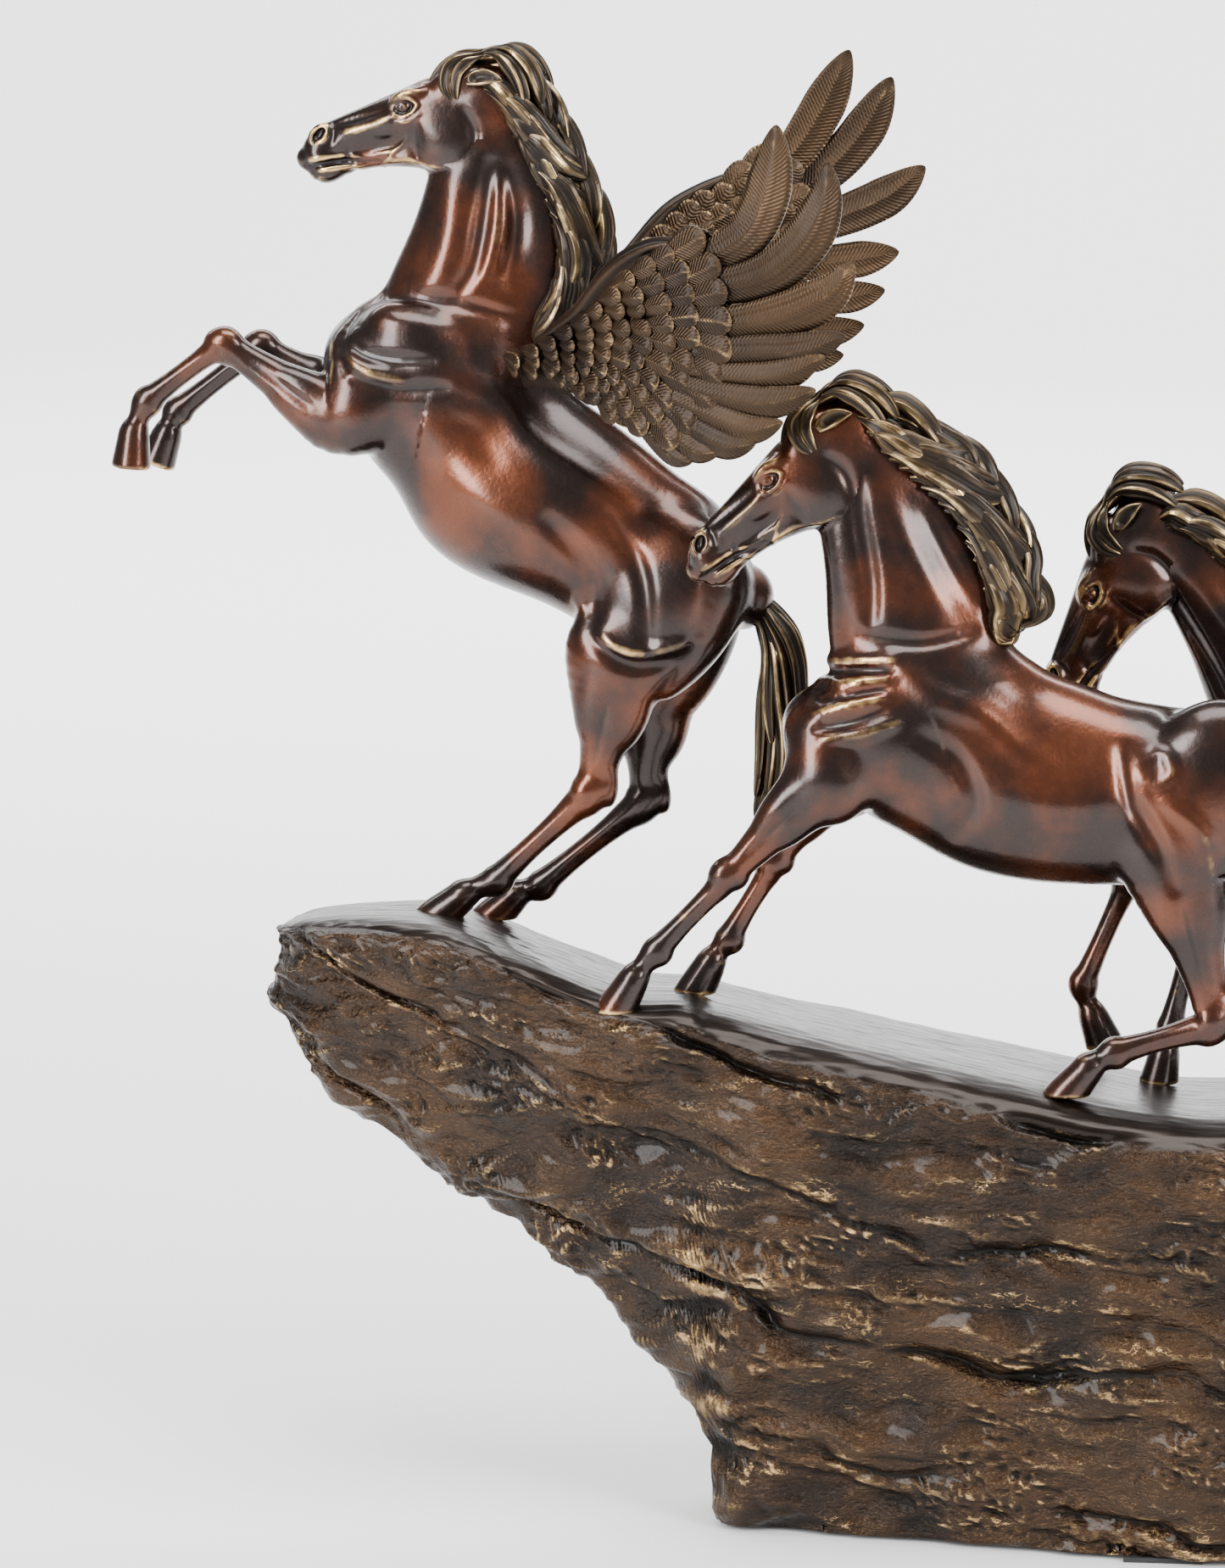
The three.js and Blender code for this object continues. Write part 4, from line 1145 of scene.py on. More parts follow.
@dataclass(frozen=True)
class Mane:
    """A mane of long waved locks that fall from the crest to both sides.

    Attributes:
        roots: the line on the neck's side where the hair starts, as x and z.
        tips: the outer line that the locks end on, as x and z.
        spread: half the neck's width at the roots.
        count: how many locks each layer has.
        seed: draws their small differences.
    """

    roots: Line
    tips: Line
    spread: float = 15
    count: int = 9
    seed: int = 1

    def locks(self) -> list[Lock]:
        """Lays the locks in two layers on each side and one along the outer edge.

        Returns:
            The locks.
        """
        rng = np.random.default_rng(self.seed)
        roots, tips = in_plane(self.roots, 12, 101), in_plane(self.tips, 12, 101)
        shares = np.linspace(0, 1, 101)
        locks = []
        layers = ((-3.0, 0.0, 0.82), (0.0, 0.02, 1.0))
        for layer, (lift, start, end) in enumerate(layers):
            for side in Side:
                for i in range(self.count):
                    share = (i + 0.5 * layer + 0.12 * rng.normal()) / self.count
                    fall = 0.36 + 0.05 * rng.normal()
                    swing = 4.6 + 1.6 * rng.random()
                    t = np.linspace(0, 1, 9)
                    here = np.clip(share * 0.94 + fall * t, 0, 1)
                    there = np.clip(share + 0.04 + fall * t * 0.8, 0, 1)
                    a = np.stack([np.interp(here, shares, roots[:, k]) for k in (0, 2)], axis=1)
                    b = np.stack([np.interp(there, shares, tips[:, k]) for k in (0, 2)], axis=1)
                    reach = (start + (end - start) * smooth(t, -0.05, 1.05))[:, None]
                    line = a * (1 - reach) + b * reach
                    turn = unit(np.gradient(line, axis=0))
                    sway = (swing * np.sin(2 * math.pi * (t * 0.95 + 0.03)))[:, None]
                    line = line + sway * turn[:, ::-1] * [-1, 1]
                    swell = 3.5 + 6 * np.sin(math.pi * t) ** 0.7
                    out = (self.spread - 5 + lift) * (1 - reach[:, 0]) ** 0.7 + swell
                    path = np.stack([line[:, 0], side.value * out, line[:, 1]], axis=1)
                    width, depth = 7.6 + 1.8 * rng.random(), 4.6 + rng.random()
                    grooves = 3 + int(rng.integers(2))
                    facing = (0, side.value, 0)
                    locks.append(Lock(path, width, depth, grooves, facing, float(rng.random())))
        for i in range(self.count):
            share = (i + 0.3) / self.count
            t = np.linspace(0, 1, 7)
            at = np.clip(share + 0.3 * t, 0, 1)
            x, z = (np.interp(at, shares, tips[:, k]) for k in (0, 2))
            x0, z0 = (np.interp(at, shares, roots[:, k]) for k in (0, 2))
            pull = (0.32 - 0.26 * np.sin(math.pi * t * 0.9))[:, None]
            line = np.stack([x, z], axis=1) * (1 - pull) + np.stack([x0, z0], axis=1) * pull
            path = np.stack([line[:, 0], (2.5 * rng.normal() + 3 * np.sin(5 * t)), line[:, 1]], axis=1)
            locks.append(Lock(path, 7.0, 6.4, 4, (0.3, -1, 0.2), float(rng.random())))
        return locks


@dataclass(frozen=True)
class Tail:
    """A tail of stringy locks that are twisted loosely round its line.

    Attributes:
        line: its middle, as x and z from the dock to the tip.
        girth: half its thickness where it is fullest.
        count: how many locks it has.
        seed: draws their small differences.
    """

    line: Line
    girth: float = 11
    count: int = 15
    seed: int = 1

    def locks(self) -> list[Lock]:
        """Lays the locks round the tail's line.

        Returns:
            The locks.
        """
        rng = np.random.default_rng(self.seed)
        middle = in_plane(self.line, 10, 13)
        t = np.linspace(0, 1, 13)
        across = unit(np.cross(np.gradient(middle, axis=0), [0, 1, 0]))
        locks = []
        for i in range(self.count):
            turn = 2 * math.pi * i / self.count + 0.9 * t + 0.3 * np.sin(5 * t + i)
            spread = self.girth * (0.35 + 0.75 * np.sin(math.pi * np.clip(t * 0.85, 0, 1)))
            spread = spread * (0.75 + 0.3 * rng.random())
            sideways = np.outer(spread * np.sin(turn) * 0.8, [0, 1, 0])
            offset = across * (spread * np.cos(turn))[:, None] + sideways
            end = 9 + int(rng.integers(5))
            path = (middle + offset)[:end]
            facing = offset[len(offset) // 2]
            locks.append(Lock(path, 5.2 + rng.random(), 3.8, 4, tuple(unit(facing)), float(rng.random())))
        core = np.array([*middle[:12]])
        locks.append(Lock(core, self.girth * 0.9, self.girth * 0.8, 7, (0, -1, 0), 0.3))
        return locks


@dataclass(frozen=True)
class Forelock:
    """Hair on the brow, and the ears, in the head's own measures: along it, down it and out from its middle.

    Attributes:
        curls: each curl's line, half width and half thickness.
        ear_root: where the right ear starts.
        ear_way: from there to its tip.
    """

    curls: tuple[tuple[tuple[Point, ...], float, float], ...] = (
        (((0, -23, 6), (12, -23, 8.5), (21, -21, 10.5), (26, -12, 12.5), (25, -2, 14)), 4.6, 3.2),
        (((0, -21, 9), (9, -20, 11), (16, -16, 13), (20, -8, 14.2), (22, -2, 14.6)), 3.8, 3.0),
        (((-2, -24, 2), (12, -24, 3.5), (22, -22, 5), (31, -17, 7), (36, -11, 8.5)), 4.4, 3.0),
        (((-2, -22, 12), (-10, -17, 14), (-15, -6, 15), (-16, 6, 15), (-14, 18, 14.5)), 4.4, 3.2),
        (((-6, -23, 6), (-15, -19, 10), (-22, -9, 12), (-25, 4, 13), (-24, 17, 13)), 5.4, 4),
        (((12, -20, 3), (2, -20, 3.5), (-10, -17, 4), (-20, -10, 5), (-28, 2, 5)), 5.2, 7.5),
    )
    ear_root: Point = (13, -10, 15.5)
    ear_way: Point = (-21, 7, 2)

    def locks(self, plan: HorsePlan) -> list[Lock]:
        """The curls on both sides of the head.

        Args:
            plan: the horse.

        Returns:
            The curls.
        """
        locks = []
        for side in Side:
            for i, (line, width, depth) in enumerate(self.curls):
                path = []
                for along, down, out in line:
                    x, z = plan.on_head(along, down)
                    path.append((x, side.value * out, z))
                facing = (0, side.value, 0)
                locks.append(Lock(np.array(path, float), width, depth, 4, facing, 0.25 + 0.12 * i))
        return locks

    def ear(self, plan: HorsePlan, side: Side) -> Surface:
        """A leaf-shaped ear with a raised rim round its hollow.

        Args:
            plan: the horse.
            side: the ear's side.

        Returns:
            The ear's surface.
        """
        rows, around = 22, 24
        root, way = np.array(self.ear_root, float), np.array(self.ear_way, float)
        bow = np.array([0, 2.5, 0])
        spots = [root + way * t - bow * math.sin(math.pi * t) for t in np.linspace(0, 1, rows)]
        path = np.array([(*plan.on_head(a, d), o) for a, d, o in spots])[:, [0, 2, 1]] * [1, side.value, 1]
        t = np.linspace(0, 1, rows)[:, None]
        angle = np.linspace(0, 2 * math.pi, around, endpoint=False)[None]
        leaf = 5.4 * np.clip(np.sin(math.pi * np.clip(0.12 + 0.88 * t, 0, 1)), 0.02, 1) ** 0.8
        face = np.exp(-(((angle - math.pi / 2) / 0.62) ** 2))
        face = face * smooth(t, 0.08, 0.3) * (1 - smooth(t, 0.75, 0.95))
        high = (0.3 + 0.55 * leaf) * np.sin(angle) * (1 - 0.95 * face)
        section = np.stack([leaf * np.cos(angle), high], axis=-1)
        rim = np.exp(-(((np.abs(angle - math.pi / 2) - 0.85) / 0.3) ** 2)) * np.ones_like(t)
        # The ear's hollow gets a negative `edge`, which darkens it with grime and painted shade.
        values = {"edge": 0.75 * rim - 0.7 * face, "form": rim, "strand": np.zeros_like(rim)}
        return swept(path, np.array([0.15, side.value, 0.3]), section, values)


@dataclass(frozen=True)
class Feather:
    """A feather: a thin plate with a shaft and slanted barbs on both faces.

    Attributes:
        path: its shaft, as x, y and z.
        facing: the way its outer face looks.
        width: half its width where it is widest.
        barbs: how high the barbs stand, in millimetres.
        tone: how bright it is, from 0 to 1.
        point: how pointed its tip is, from 0 for round.
        cup: how far its middle stands above its edges.
        worn: how much gold its rim shows, from 0 to 1.
        pitch: how far apart its barbs are.
    """

    path: Array
    facing: Array
    width: float
    barbs: float = 0.3
    tone: float = 0.5
    point: float = 0.5
    cup: float = 1.2
    worn: float = 0.5
    pitch: float = 3.0

    def surface(self) -> Surface:
        """Builds the plate.

        Returns:
            Its surface.
        """
        line = spline(self.path, 10)
        length = float(np.linalg.norm(np.diff(line, axis=0), axis=1).sum())
        rows = int(np.clip(length / (0.62), 10, 240)) if self.barbs > 0.1 else 16
        half = 9 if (self.barbs > 0.1) else 6
        path = resample(line, rows)
        t = np.linspace(0, 1, rows)[:, None]
        v = np.r_[np.linspace(-1, 1, half), np.linspace(1, -1, half)][None]
        top = np.r_[np.ones(half), -np.ones(half)][None]
        body = 0.72 + 0.28 * smooth(t, 0, 0.55)
        tip = np.clip((t - 0.66) / 0.34, 0, 1)
        ending = np.sqrt(np.clip(1 - tip**2, 0, 1)) * (1 - self.point) + (1 - tip**1.6) * self.point
        width = self.width * body * np.clip(ending, 0.01, 1)
        shaft = np.exp(-((v / 0.11) ** 2)) * (1 - smooth(t, 0.86, 1))
        phase = (t * length + 0.75 * np.abs(v) * -self.width) * 2 * math.pi / self.pitch
        comb = np.sin(phase) * self.barbs * smooth(np.abs(v), 0.1, 0.25) * smooth(t, 0.02, 0.1)
        rim = smooth(np.abs(v), 0.86, 1.0)
        height = (self.cup * (1 - v**2) + 0.55) * top + comb + shaft * 0.9 * top * min(1, self.width / 8)
        height = np.where(top > 0, height, self.cup * (1 - v**2) - 0.9 - shaft * 0.7 - comb)
        edges = np.maximum(rim, smooth(t, 0.8, 1.0))
        rub = self.worn * np.clip(0.55 * shaft + 0.7 * edges + 0.35 * comb / 0.4, 0, 1)
        # A negative `edge` in a line beside the shaft darkens it with grime and painted shade.
        values = {
            "edge": rub - 0.3 * np.exp(-(((np.abs(v) - 0.17) / 0.06) ** 2)) * (self.width > 8),
            "form": np.full_like(rub, self.tone),
            "strand": phase,
        }
        sideways = np.broadcast_to(width * v, rub.shape)
        section = np.stack([sideways, height * np.clip(ending, 0.2, 1)], axis=-1)
        return swept(path, self.facing, section, values)


@dataclass(frozen=True)
class Wing:
    """A spread wing: long blades, then rows of smaller feathers up to the shoulder.

    Attributes:
        side: the side of the horse.
        blades: each blade's shaft as x and z, and its half width.
        rows: each row's line as x and z, how many feathers it has, their length and half width, and the
            slopes of its first and last feather in degrees.
        lead: the leading edge, as x and z.
        fringe: more rows on the inner face, with each row's line, count and slope.
        seed: draws the small differences.
    """

    side: Side
    blades: tuple[tuple[Line, float], ...]
    rows: tuple[tuple[Line, int, float, float, float, float], ...]
    lead: Line
    fringe: tuple[tuple[Line, int, float], ...] = ()
    seed: int = 4

    def sheet(self, x: Array) -> Array:
        """How far the wing's middle surface is from the horse's middle plane at x."""
        return 28 + 105 * (1 - np.exp(-(np.maximum(x, -60) + 52) / 95))

    def place(self, line: Line, height: float) -> tuple[Array, Array]:
        """Lays a line on the wing.

        Args:
            line: x and z.
            height: how far it stands out from the wing's middle surface.

        Returns:
            The points, and the way the wing faces there.
        """
        flat = np.asarray(line, float)
        out = self.side.value
        slope = 105 / 95 * np.exp(-(np.maximum(flat[:, 0], -60) + 52) / 95)
        facing = unit(np.stack([-slope, np.full(len(flat), 1.0), np.zeros(len(flat))], axis=1)) * [1, out, 1]
        points = np.stack([flat[:, 0], out * self.sheet(flat[:, 0]), flat[:, 1]], axis=1)
        return points + facing * height, facing

    def build(self) -> Surface:
        """Makes all the feathers of the wing.

        Returns:
            The wing as one surface.
        """
        rng = np.random.default_rng(self.seed)
        parts = []
        for i, (line, width) in enumerate(self.blades):
            height = 1.0 + 0.9 * min(i, 5) - 0.5 * max(i - 5, 0)
            points, facing = self.place(line, height)
            lean = unit(facing.mean(0) + np.array([0, 0, -0.16]))
            tone = float(rng.random())
            parts.append(Feather(points, lean, width, 0.13, tone, 0.5, 1.5, 0.5, 2.4).surface())
        for face in (1, -1):
            for r, (line, count, length, width, first, last) in enumerate(self.rows):
                spots = in_plane(line, 8, 2 * count + 1)[:, [0, 2]]
                for i in range(count):
                    at = spots[2 * i + 1] + rng.normal(size=2) * 0.6
                    slope = first + (last - first) * (i + 0.5) / count
                    way = math.radians(slope + 5 * rng.normal())
                    size = 1 + 0.08 * rng.normal()
                    step = np.array([math.cos(way), math.sin(way)]) * length * size
                    bend = np.array([-step[1], step[0]]) * 0.05
                    shaft = [at - step * 0.35, at + step * 0.25 + bend, at + step * 0.65]
                    height = face * (4.6 + 0.42 * r)
                    points, facing = self.place(shaft, height)
                    points = points + facing * (np.array([-1.6, 0.6, 1.7])[:, None] * face)
                    tone = float(rng.random())
                    out, half = facing.mean(0) * face, width * size
                    parts.append(Feather(points, out, half, 0.12, tone, 0.25, 1.7, 0.8, 2.2).surface())
        for line, count, slope in self.fringe:
            spots = in_plane(line, 8, count)[:, [0, 2]]
            for at in spots:
                way = math.radians(slope + 6 * rng.normal())
                step = 17 * np.array([math.cos(way), math.sin(way)])
                points, facing = self.place([at, at + 0.5 * step, at + step], -5.0)
                points = points + facing * np.array([1.6, -0.6, -1.7])[:, None]
                parts.append(Feather(points, -facing.mean(0), 8, 0.1, 0.9, 0.15, 2.0, 1.0, 2.2).surface())
        ribs = ((-1.0, 15.0), (0.5, 17.0), (0.0, 16.0), (0.5, 14.0), (0.0, 11.0))
        for k, (height, width) in enumerate(ribs):
            row = np.array([line[0][min(1, len(line[0]) - 1)] for line in self.rows], float)
            low = np.array([line[0][-1] for line in self.rows], float)
            share = (k + 0.5) / 5
            points, facing = self.place((row * (1 - share) + low * share)[::-1], height)
            parts.append(Feather(points, facing.mean(0), width, 0.0, 0.3, 0.3, 2.0, 0.0).surface())
        points, facing = self.place(self.lead, 0)
        arm = Lock(points, 8, 6.5, 5, tuple(facing.mean(0)), 0.2).surface()
        arm.values["edge"] = arm.values["edge"] * 0.3
        parts.append(arm)
        return Surface.joined(parts)

# The covering feathers of the left wing: each row's line, count, length, half width and end slopes.
NEAR_ROWS = (
    (((54, 764), (68, 744), (72, 718), (68, 692), (56, 672), (38, 658)), 9, 27, 9.2, 34, -56),
    (((42, 757), (54, 738), (57, 714), (52, 692), (38, 672), (24, 662)), 10, 22, 8, 30, -58),
    (((32, 751), (42, 732), (44, 710), (38, 690), (22, 672), (8, 666)), 10, 18, 7, 26, -58),
    (((22, 743), (31, 725), (32, 706), (25, 688), (10, 674)), 9, 15, 6.2, 24, -58),
    (((13, 734), (21, 718), (21, 702), (14, 686), (0, 674)), 8, 13.5, 5.6, 22, -56),
    (((4, 726), (11, 712), (10, 698), (3, 684), (-8, 677)), 7, 12.5, 5.2, 20, -54),
    (((-5, 718), (1, 706), (0, 694), (-8, 682)), 6, 12, 4.9, 16, -50),
    (((-15, 710), (-9, 700), (-11, 689), (-18, 681)), 5, 11.5, 4.7, 12, -44),
    (((-25, 703), (-20, 694), (-24, 684)), 4, 11, 4.5, 6, -36),
    (((-36, 697), (-33, 690), (-36, 683)), 3, 11, 4.3, 0, -30),
    (((-47, 692), (-46, 686), (-47, 682)), 2, 11, 4, -6, -20),
)

LEFT_WING = Wing(
    Side.LEFT,
    blades=(
        (((62, 750), (79, 758), (96, 770), (106, 788), (111, 810), (113, 832)), 13.5),
        (((66, 738), (94, 743), (113, 751), (131, 768), (141, 790), (143, 812)), 13.5),
        (((68, 716), (104, 722), (127, 729), (146, 740), (158, 757)), 13),
        (((66, 702), (100, 704), (128, 706), (154, 716)), 11),
        (((62, 692), (96, 690), (120, 693), (143, 704)), 9),
        (((58, 684), (88, 678), (114, 677), (138, 685)), 9.5),
        (((54, 676), (78, 667), (100, 661), (119, 666)), 9),
        (((48, 670), (68, 658), (86, 651), (103, 653)), 8.5),
        (((40, 666), (56, 654), (68, 647), (82, 647)), 7.5),
        (((30, 664), (44, 651), (54, 643), (65, 640)), 6.5),
    ),
    rows=NEAR_ROWS,
    lead=((-56, 684), (-40, 694), (-24, 704), (-6, 718), (8, 736), (22, 750), (40, 760), (60, 764)),
)

RIGHT_WING = Wing(
    Side.RIGHT,
    blades=(
        (((62, 776), (88, 798), (106, 826), (122, 861)), 13),
        (((78, 768), (108, 788), (131, 814), (147, 845)), 13),
        (((84, 750), (118, 762), (146, 775), (167, 792)), 12.5),
        (((80, 732), (110, 734), (132, 737), (152, 741)), 11),
        (((76, 716), (102, 714), (124, 714), (144, 718)), 10),
        (((68, 702), (92, 696), (112, 693), (132, 697)), 9.5),
        (((60, 692), (84, 682), (102, 677), (120, 679)), 9),
        (((50, 684), (70, 672), (86, 666), (101, 667)), 8),
        (((40, 678), (56, 664), (68, 658), (83, 657)), 7),
    ),
    rows=(
        (((62, 794), (82, 776), (84, 748), (78, 716), (62, 692), (44, 676)), 10, 27, 9.2, 48, -52),
        (((50, 786), (68, 766), (70, 740), (62, 712), (44, 686), (30, 676)), 10, 22, 8, 44, -54),
        *(
            (tuple((x + 9, z + 14) for x, z in line), count, length, width, first + 12, last)
            for line, count, length, width, first, last in NEAR_ROWS[2:]
        ),
    ),
    lead=((-48, 684), (-30, 702), (-12, 724), (3, 743), (20, 764), (38, 776), (56, 785), (70, 796)),
    fringe=(
        (((2, 736), (22, 756), (44, 768), (62, 778)), 8, 62),
        (((10, 730), (30, 750), (52, 760), (70, 768)), 8, 56),
        (((22, 728), (42, 744), (62, 750), (78, 758)), 7, 50),
    ),
    seed=9,
)

MANES = {
    "pegasus": Mane(
        roots=(
            (-84, 850), (-68, 834), (-56, 813), (-46, 793),
            (-37, 774), (-32, 754), (-31, 731), (-36, 705),
        ),
        tips=(
            (-92, 861), (-62, 860), (-40, 843), (-28, 822), (-16, 796),
            (-7, 773), (-4, 748), (-16, 722), (-34, 699),
        ),
        spread=15,
        seed=11,
    ),
    "front_horse": Mane(
        roots=(
            (146, 664), (160, 645), (176, 630), (191, 617),
            (205, 600), (214, 582), (220, 564), (229, 548),
        ),
        tips=(
            (146, 678), (168, 676), (193, 656), (214, 644), (231, 619),
            (246, 593), (248, 570), (256, 556), (236, 546),
        ),
        spread=16,
        seed=12,
    ),
    "rear_horse": Mane(
        roots=((314, 590), (334, 580), (356, 562), (384, 536), (408, 510), (436, 486)),
        tips=((312, 606), (344, 601), (376, 581), (408, 551), (438, 521), (470, 489)),
        spread=16,
        seed=13,
    ),
}

TAILS = {
    "pegasus": Tail(((80, 556), (99, 524), (101, 488), (99, 451), (90, 416)), seed=21),
    "front_horse": Tail(((394, 458), (424, 472), (450, 461), (470, 432), (481, 394)), seed=22),
    "rear_horse": Tail(((626, 408), (656, 422), (680, 411), (698, 382), (707, 342)), seed=23),
}


@dataclass(frozen=True)
class RockStation:
    """The rock's outline at one place along X, in millimetres."""

    x: float
    top: float
    under: float
    front: float
    back: float
    keel: float


@dataclass(frozen=True)
class Rock:
    """The overhanging rock: slanted layers, deep cracks and a smoother top, open underneath.

    Attributes:
        stations: its outline along X.
        tilt: the rise of its top per millimetre towards +Y.
        wall: the thickness of its cast wall.
        floor: how high its rim stands, on its pads.
        foot: where along X its foot starts.
    """

    stations: tuple[RockStation, ...] = tuple(
        RockStation(*row)
        for row in (
            (-192, 351, 296, -34, 40, 0.7), (-168, 357, 254, -64, 60, 0.55), (-100, 359, 208, -98, 80, 0.4),
            (-40, 338, 168, -114, 80, 0.34), (14, 319, 124, -124, 82, 0.3), (50, 317, 76, -129, 84, 0.28),
            (66, 312, 40, -130, 86, 0.3), (80, 309, 0, -131, 90, 0.34), (104, 303, 0, -133, 98, 0.38),
            (150, 293, 0, -135, 112, 0.46), (230, 276, 0, -139, 126, 0.62), (329, 257, 0, -141, 132, 0.75),
            (409, 254, 0, -141, 134, 0.82), (500, 229, 0, -139, 134, 0.86), (600, 214, 0, -134, 130, 0.88),
            (660, 206, 0, -112, 112, 0.88), (690, 190, 0, -72, 76, 0.85),
        )
    )
    tilt: float = -0.1
    wall: float = 6.0
    floor: float = 3.1
    foot: float = 88.0

    def at(self, x: Array) -> tuple[Array, ...]:
        """The outline's top, underside, front, back and keel at x."""
        rows = [[s.x, s.top, s.under, s.front, s.back, s.keel] for s in self.stations]
        line = spline(rows, 12)
        return tuple(np.interp(x, line[:, 0], line[:, k]) for k in range(1, 6))

    def base(self, x: Array, across: Array, rise: Array) -> Array:
        """Points on the plain rock, `across` and `rise` from the middle of its section, from -1 to 1.

        Args:
            x: places along X.
            across: how far towards the back.
            rise: how far up.

        Returns:
            The points.
        """
        top, under, front, back, keel = self.at(x)
        on_foot = np.clip((x - self.foot) / 34 + 1, 0, 1)
        low = under * (1 - on_foot) - 20 * on_foot
        flat = low + (top - low) * (rise + 1) / 2
        share = (flat - under) / (top - under)
        share = np.clip((share + np.sqrt(share**2 + 0.004)) / 2, 0, 1)
        taper = keel + (1 - keel) * share**0.8
        y = (front + back) / 2 + across * np.maximum((back - front) / 2 * taper, 4)
        return np.stack([x, y, flat + self.tilt * y * (rise + 1) / 2], axis=-1)

    def build(self) -> dict[str, Surface]:
        """Carves the rock and parts it into its panels.

        Returns:
            A surface for each panel.
        """
        step = 2.3
        rows, around = int(882 / step), 4 * int(280 / step)
        turn = np.arange(around) / (around / 4) - 0.5
        face = np.floor(turn + 0.5).astype(int) % 4
        along = 2 * (turn + 0.5 - np.floor(turn + 0.5)) - 1
        one = np.ones(around)
        a = np.choose(face, [one, -along, -one, along])
        b = np.choose(face, [along, one, -along, -one])
        size = (np.abs(a) ** 7 + np.abs(b) ** 7) ** (1 / 7)
        a, b = a / size, b / size
        caps = np.sin(np.linspace(0.02, 1, 16) * math.pi / 2)
        x = np.r_[np.full(15, -191.9), np.linspace(-191.9, 689.9, rows), np.full(15, 689.9)]
        shrink = np.r_[caps[:-1], np.ones(rows), caps[-2::-1]]
        bulge = np.r_[-np.cos(np.arcsin(caps[:-1])), np.zeros(rows), np.cos(np.arcsin(caps[-2::-1]))] * 5
        shrink = shrink[:, None]
        grid = self.base(*np.broadcast_arrays(x[:, None], a[None] * shrink, b[None] * shrink))
        grid[..., 0] += bulge[:, None]
        normals = self.grid_normals(grid)
        lift, wear = self.relief(grid.reshape(-1, 3), normals.reshape(-1, 3))
        shape = grid.shape[:2]
        lift, wear = lift.reshape(shape), wear.reshape(shape)
        grid = grid + normals * lift[..., None]
        grid[..., 2] = np.maximum(grid[..., 2], self.floor)
        small, large = lift - self.blurred(lift, 1), lift - self.blurred(lift, 4)
        index = np.arange(rows * around + 30 * around).reshape(shape)
        turned = np.roll(index, -1, axis=1)
        faces = np.stack([index[:-1], turned[:-1], turned[1:], index[1:]], axis=-1).reshape(-1, 4)
        places = grid.reshape(-1, 3)
        faces = faces[(places[faces][:, :, 2] > self.floor + 0.01).any(axis=1)]
        values = {"edge": small.ravel(), "form": large.ravel(), "strand": wear.ravel()}
        whole = Surface(places, faces, self.grid_normals(grid).reshape(-1, 3), values)
        middle = places[faces].mean(axis=1)
        return {name: self.walled(whole.part(mask)) for name, mask in self.panels(middle).items()}

    def panels(self, middle: Array) -> dict[str, Array]:
        """Which faces belong to which panel, by their middles.

        Args:
            middle: the faces' middles, N by 3.

        Returns:
            A mask of the faces for each panel's name.
        """
        prow, split, drop = -30.0, 330.0, 46.0
        tops = [float(self.at(np.array([x]))[0][0]) - drop for x in (prow, split, 690.0)]
        line = np.interp(middle[:, 0], [prow, split, 690.0], tops)
        deck, left, front = middle[:, 2] > line, middle[:, 0] < split, middle[:, 1] < 0
        rest = middle[:, 0] >= prow
        masks = {"rock_prow": ~rest}
        for side, half in (("left", left), ("right", ~left)):
            masks["rock_deck_" + side] = rest & half & deck
            masks["rock_front_" + side] = rest & half & ~deck & front
            masks["rock_back_" + side] = rest & half & ~deck & ~front
        return masks

    @staticmethod
    def grid_normals(grid: Array) -> Array:
        """The outward normals of a grid of points that is closed round its second axis."""
        forward = np.gradient(grid, axis=0)
        round_it = np.roll(grid, -1, axis=1) - np.roll(grid, 1, axis=1)
        return unit(np.cross(round_it, forward))

    @staticmethod
    def blurred(values: Array, reach: int) -> Array:
        """Values averaged over their neighbours on the grid.

        Args:
            values: a value for each point.
            reach: how many neighbours each way.

        Returns:
            The averages.
        """
        total = values
        for axis in (0, 1):
            total = sum(np.roll(total, k, axis=axis) for k in range(-reach, reach + 1)) / (2 * reach + 1)
        return total

    def relief(self, p: Array, normals: Array) -> tuple[Array, Array]:
        """How far the rock stands out from its plain form.

        Args:
            p: points on the plain rock.
            normals: its normals there.

        Returns:
            The relief in millimetres, and how rough the rock is, from 0 on its top to 1.
        """
        grain = Grain(17)
        top = self.at(p[:, 0])[0] + self.tilt * p[:, 1]
        wander = grain.layers(p, (90, 90, 50), 2)
        depth = top - p[:, 2] + 9 * wander
        flat = smooth(normals[:, 2], 0.2, 0.7) * smooth(depth, 34, 12)
        rough = 1 - flat
        fall = np.interp(p[:, 0], [-190, 60, 260, 700], [0.52, 0.40, 0.22, 0.08]) * (p[:, 0] - 80)
        layer = p[:, 2] + fall + 0.15 * p[:, 1] + 15 * grain.layers(p + 90, (120, 120, 70), 3)
        relief = np.zeros(len(p))
        for pitch, height, seed in ((74.0, 8.0, 0.2), (31.0, 2.6, 0.6)):
            phase = layer / pitch + seed
            share = phase - np.floor(phase)
            pick = 0.5 + 0.5 * np.sin(12.9 * np.floor(phase) + 3 * grain.at(p, (110, 110, 60)))
            relief += height * pick * (smooth(share, 0.0, 0.2) * (1 - 0.8 * smooth(share, 0.2, 1.0)) - 0.4)
        crack = np.abs(layer / 74.0 + 0.2 - np.round(layer / 74.0 + 0.2)) * 74
        open_here = smooth(grain.at(p, (100, 80, 60)), -0.2, 0.3)
        relief -= 6.0 * np.exp(-((crack / 3.2) ** 2)) * open_here
        relief += 6.0 * grain.layers(p + 7, (62, 62, 34), 2)
        warp = p + 6 * np.stack([grain.at(p + 11, 30), grain.at(p + 23, 30), grain.at(p + 37, 30)], axis=1)
        patch = smooth(grain.layers(p + 67, (64, 64, 30), 2), -0.05, 0.45)
        swell = 1 - np.abs(grain.at(warp, (34, 34, 11))) * 2
        relief += 1.6 * np.clip(swell, -0.4, 1) * rough
